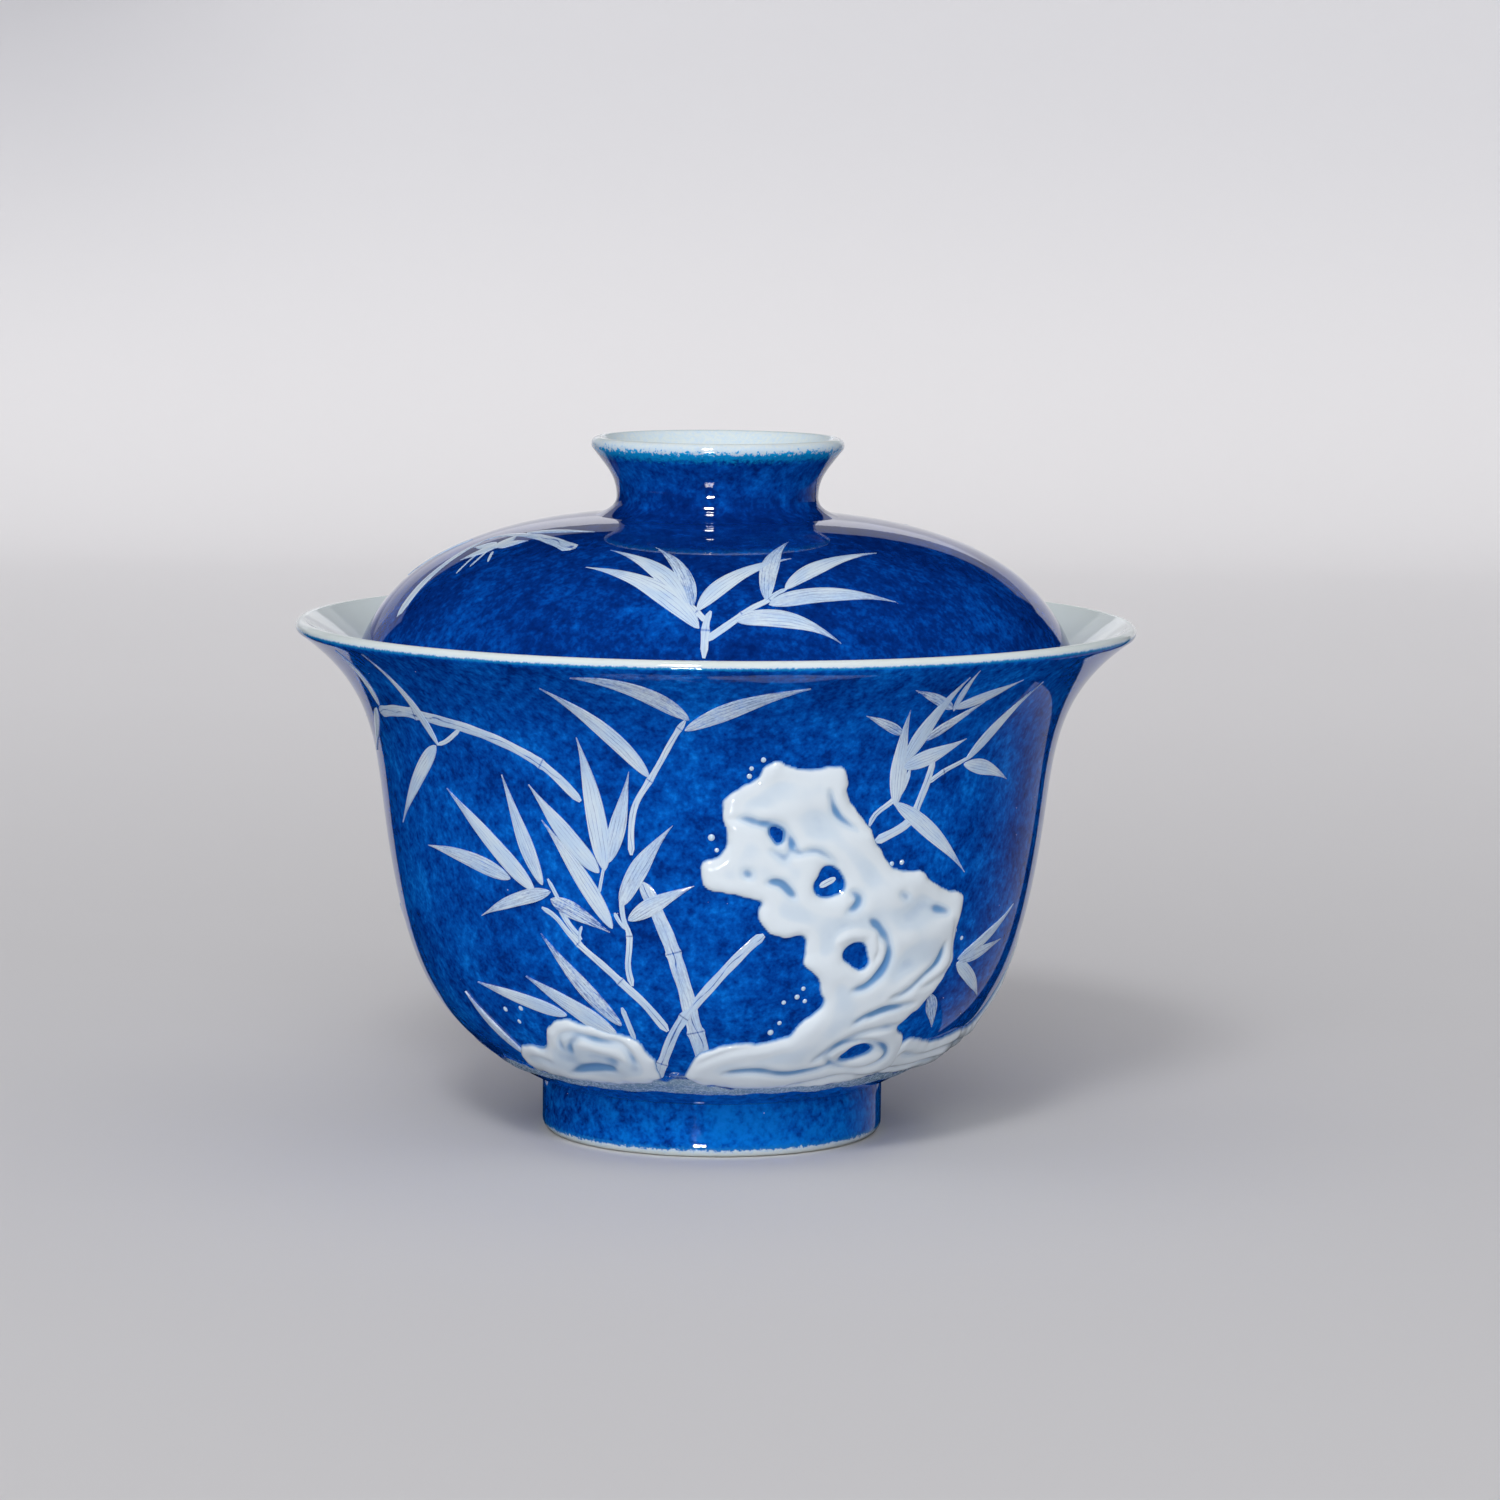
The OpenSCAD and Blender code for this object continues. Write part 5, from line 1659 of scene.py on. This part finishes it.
LID_FRONT_LEAVES = (
    Leaf(-4, 40, 114, 13.5, 1.9, 24, 0.5), Leaf(-5, 40, 131, 16.5, 2.3, 20, 0.05),
    Leaf(-3, 42.5, 142, 18.5, 2.5, 16, 0.05), Leaf(9.5, 39, 70, 14.5, 2.1, -24, 0.35),
    Leaf(-2.5, 40.5, 46, 15.5, 2.1, -20, 0.05), Leaf(14, 37.5, 36, 17.5, 2.0, -14),
    Leaf(10.5, 40, 11, 16.5, 2.1, -14, 0.2), Leaf(4.5, 42, -2, 12.5, 1.8, -26, 0.15),
)
LID_LEFT_CANES = (
    Cane(-70, 2.2, 0.9, ((2, 43.8), (1.1, 42.2), (0.2, 39.9), (-0.6, 37.4), (-2, 34), (-3.2, 31)), (), 0.1),
    Cane(-70, 0.9, 2.2, (
        (-3.2, 31), (-2.6, 29.2), (0.5, 27.9), (5, 26.8), (9, 26.2), (13, 25.7), (16.4, 25.2)), (), 0.4),
    Cane(-70, 0.4, 0.3, ((3.9, 32.6), (5.4, 34), (6.7, 35.8)), (), 0.1),
    Cane(-70, 0.4, 0.3, ((2.6, 33), (4.2, 35), (6, 37.4)), (), 0.1),
    Cane(-70, 0.4, 0.3, ((5.6, 32.4), (7, 33.2), (8.6, 34)), (), 0.1),
)
LID_LEFT_LEAVES = (
    Leaf(-62.5, 31.5, 118, 4.2, 2.3, 0, 0.0), Leaf(-61.5, 31.2, 42, 3.6, 2.1, 0, 0.0),
    Leaf(-63.5, 32, -120, 4.2, 2.2, 0, 0.0), Leaf(-66, 31.5, -160, 3.6, 1.9, 0, 0.0),
    Leaf(-87.5, 32.5, -110, 8.4, 1.6), Leaf(-64.5, 26.5, 28, 10.5, 1.2, 0, 0.3),
)
LID_BACK_CANES = (
    Cane(130, 1.0, 0.6, ((-1, 44.5), (0, 41), (-1, 37), (-4, 33)), (0.4,), 0.1),
    Cane(215, 1.0, 0.6, ((1, 44.5), (0, 40), (2, 36), (5, 32)), (0.4,), 0.1),
)
LID_BACK_LEAVES = (
    Leaf(128, 37, 60, 12, 2.0, -10), Leaf(124, 33.5, 130, 11, 1.9, 14, 0.2), Leaf(122, 34, 170, 13, 2.1, 16),
    Leaf(131, 40, 25, 13, 2.0, -16), Leaf(129, 39, 150, 14, 1.9, 16, 0.3), Leaf(217, 38, 130, 13, 2.1, 14),
    Leaf(220, 34, 60, 10, 1.9, -10, 0.2), Leaf(224, 33, 20, 12, 2.0, -14), Leaf(213, 41, 165, 14, 2.0, 16),
    Leaf(216, 40, 35, 13, 1.8, -16, 0.3),
)


# ---------------------------------------------------------------- studio
def shine_from(made: bpy.types.Object, direction: Vector) -> None:
    """Turns a light so that it shines from this direction."""
    made.rotation_mode = "QUATERNION"
    made.rotation_quaternion = direction.to_track_quat("Z", "Y")


@dataclass(frozen=True)
class SoftLight:
    """A broad light that the glaze doesn't mirror: a name, where it shines from, strength and softness."""

    name: str
    azimuth: float
    elevation: float
    strength: float
    spread: float

    def build(self) -> None:
        """Adds the light."""
        data = bpy.data.lights.new(self.name, "SUN")
        data.energy = self.strength
        data.angle = math.radians(self.spread)
        made = add_object(self.name, data)
        a, e = math.radians(self.azimuth), math.radians(self.elevation)
        shine_from(made, Vector((math.sin(a) * math.cos(e), -math.cos(a) * math.cos(e), math.sin(e))))
        made.visible_glossy = False


@dataclass(frozen=True)
class Lamp:
    """A lamp or soft box that the glaze mirrors.

    Attributes:
        name: its name.
        place: where it stands, in metres.
        size: its width and height, in metres.
        brightness: how bright its face is.
        glint: whether it makes highlights only, and lights nothing.
    """

    name: str
    place: Triple
    size: tuple[float, float]
    brightness: float
    glint: bool = False

    def build(self) -> None:
        """Adds the lamp, facing the object."""
        data = bpy.data.lights.new(self.name, "AREA")
        data.shape = "RECTANGLE"
        data.size, data.size_y = self.size
        data.energy = math.pi * self.brightness * self.size[0] * self.size[1]
        made = add_object(self.name, data)
        made.location = self.place
        made.visible_diffuse = not self.glint
        shine_from(made, made.location - Vector((0.0, 0.0, AIM_HEIGHT)))


@dataclass
class Studio:
    """Floor, backdrop, lights and camera. Metres and degrees.

    The floor that the camera sees is one even plane. Only the wedge of it behind the gaiwan, and the card
    that sweeps up from it, show in the glaze, so that the front stays deep blue.

    Attributes:
        floor_half: half the floor's width.
        near: the wedge's nearest line, as its y and its left and right ends.
        far: the line where the card begins to rise, given in the same way.
        top: the line where it stands upright, given in the same way.
        back_height: height of the card.
        side_card: distance of the side card, and the azimuths of its front and back edges.
        side_heights: its lower and upper edges.
        pitch: how many degrees the camera looks down.
        roll: how many degrees it leans.
        lens: its focal length in millimetres.
    """

    floor_half: float = 4.0
    near: Triple = (0.05, -0.053, 0.055)
    far: Triple = (0.87, -0.53, 0.46)
    top: Triple = (1.15, -0.64, 0.60)
    back_height: float = 0.36
    sweep_steps: int = 24
    side_card: Triple = (1.25, 103.0, 148.0)
    side_heights: tuple[float, float] = (-0.80, 0.12)
    camera_place: Triple = (0.00459, -0.700, 0.133)
    pitch: float = 6.74
    roll: float = 0.57
    lens: float = 128.64
    sensor: float = 36.0
    lights: Sequence[SoftLight] = (
        SoftLight("front_fill", -7, 26, 1.34, 45),
        SoftLight("overhead", 0, 86, 0.42, 70),
    )
    lamps: Sequence[Lamp] = (
        Lamp("key", (-0.17, -0.93, 0.82), (0.20, 0.18), 28),
        Lamp("high_glint", (-0.165, -0.95, 0.80), (0.17, 0.30), 170, glint=True),
        Lamp("low_glint", (-0.155, -1.20, -0.275), (0.17, 0.07), 170, glint=True),
        Lamp("rim_box", (-0.14, 1.10, 0.33), (1.40, 0.30), 0.31),
    )

    def ground(self, material: bpy.types.Material) -> None:
        """Adds the wide floor, and the card behind that sweeps up from it."""
        h = self.floor_half
        near_y, near_left, near_right = self.near
        far_y, far_left, far_right = self.far
        wedge = [(near_left, near_y, 0), (near_right, near_y, 0), (far_right, far_y, 0), (far_left, far_y, 0)]
        corners = [(-h, -h, 0), (h, -h, 0), (h, h, 0), (-h, h, 0)]
        around = [(k, (k + 1) % 4, 4 + (k + 1) % 4, 4 + k) for k in range(4)]
        floor = self.surface("floor", corners + wedge, around, material)
        floor.visible_glossy = False
        top_y, top_left, top_right = self.top
        sweep = top_y - far_y
        rows = [(near_y, near_left, near_right, 0.0), (far_y, far_left, far_right, 0.0)]
        for k in range(1, self.sweep_steps + 1):
            share = k / self.sweep_steps
            a = math.radians(90 * share)
            left, right = mix(far_left, top_left, share), mix(far_right, top_right, share)
            rows.append((far_y + sweep * math.sin(a), left, right, sweep * (1 - math.cos(a))))
        rows.append((top_y, top_left, top_right, self.back_height))
        places = [(x, y, z) for y, left, right, z in rows for x in (left, right)]
        faces = [(2 * k, 2 * k + 1, 2 * k + 3, 2 * k + 2) for k in range(len(rows) - 1)]
        card = self.surface("backdrop", places, faces, material)
        card.data.shade_smooth()

    def side(self) -> None:
        """Adds the dim card on the right that the side of the bowl mirrors. It fades towards the front."""
        reach, front, back = self.side_card
        low, high = self.side_heights
        places = []
        for azimuth in (back, front):
            a = math.radians(azimuth)
            places += [(reach * math.sin(a), -reach * math.cos(a), z) for z in (low, high)]
        sheet = Sheet("side_card_glow")
        black = (0.0, 0.0, 0.0, 1.0)
        glow = sheet.blend(sheet.math("POWER", sheet.value_of("glow"), 1.6), black, (0.34, 0.33, 0.37, 1.0))
        sheet.feed(sheet.shader, {"Base Color": black, "Emission Color": glow, "Emission Strength": 1.0})
        card = self.surface("side_card", places, [(0, 1, 3, 2)], sheet.material)
        layer = card.data.attributes.new("glow", "FLOAT", "POINT")
        layer.data.foreach_set("value", [1.0, 1.0, 0.0, 0.0])
        card.visible_camera = False

    @staticmethod
    def surface(name: str, places: Sequence[Triple], faces: Sequence[Face],
                material: bpy.types.Material) -> bpy.types.Object:
        """Makes one stage object.

        Args:
            name: its name.
            places: its vertices in metres.
            faces: its faces.
            material: its finish.

        Returns:
            The new object.
        """
        mesh = bpy.data.meshes.new(name)
        mesh.from_pydata(places, [], faces)
        mesh.materials.append(material)
        return add_object(name, mesh)

    def surroundings(self) -> None:
        """Adds the room's even light, which the glaze doesn't mirror."""
        world = bpy.data.worlds.new("room")
        world.use_nodes = True
        background = world.node_tree.nodes["Background"]
        background.inputs["Color"].default_value = (0.25, 0.25, 0.265, 1.0)
        background.inputs["Strength"].default_value = 1.0
        world.cycles_visibility.glossy = False
        bpy.context.scene.world = world

    def camera(self) -> None:
        """Adds the camera."""
        data = bpy.data.cameras.new("camera")
        data.lens = self.lens
        data.sensor_width = self.sensor
        data.clip_start = 0.01
        data.clip_end = 50.0
        made = add_object("camera", data)
        tilt = Matrix.Rotation(math.radians(90 - self.pitch), 4, "X")
        roll = Matrix.Rotation(math.radians(self.roll), 4, "Z")
        made.matrix_world = Matrix.Translation(self.camera_place) @ tilt @ roll
        bpy.context.scene.camera = made

    def build(self) -> None:
        """Sets up the whole studio."""
        self.ground(PaleWall().material())
        self.side()
        self.surroundings()
        for light in (*self.lights, *self.lamps):
            light.build()
        self.camera()
        bpy.context.scene.view_settings.view_transform = "Standard"
        LOG.info("studio: %d soft lights, %d lamps", len(self.lights), len(self.lamps))


def main() -> None:
    """Builds the gaiwan and its studio in order."""
    logging.basicConfig(level=logging.INFO, format="%(message)s")
    bowl = BowlBody()
    bowl.build()
    side = bowl.skin()
    slip = RockSlip().material()
    for rock in (SCHOLAR_ROCK, LEFT_BOULDER, SIDE_ROCK, BACK_BOULDER):
        rock.build(side, slip)
    dots = RockSlip("pearl_slip", crest=(0.60, 0.75, 0.90, 1.0), body=(0.46, 0.64, 0.85, 1.0))
    PearlScatter(PEARLS).build(side, dots.material())
    GroundBand().build(side, SandySlip().material())
    brushed = BrushedSlip().material()
    sprays = [
        BambooSpray(f"{node}_brushed", node, side, False, Body.BOWL, canes, leaves, seed)
        for node, canes, leaves, seed in (
            ("front_bamboo", FRONT_CANES, FRONT_LEAVES, 11), ("right_bamboo", RIGHT_CANES, RIGHT_LEAVES, 12),
            ("back_bamboo", BACK_CANES, BACK_LEAVES, 13),
        )
    ]
    lid = LidBody()
    lid.build()
    top = lid.skin()
    sprays += [
        BambooSpray(name, node, top, True, Body.LID, canes, leaves, seed)
        for name, node, canes, leaves, seed in (
            ("lid_front_brushed", "lid_front_bamboo", LID_FRONT_CANES, LID_FRONT_LEAVES, 21),
            ("lid_left_brushed", "lid_left_spray", LID_LEFT_CANES, LID_LEFT_LEAVES, 22),
            ("lid_back_brushed", "lid_back_bamboo", LID_BACK_CANES, LID_BACK_LEAVES, 23),
        )
    ]
    for spray in sprays:
        spray.build(brushed)
    Studio().build()


if __name__ == "__main__":
    main()
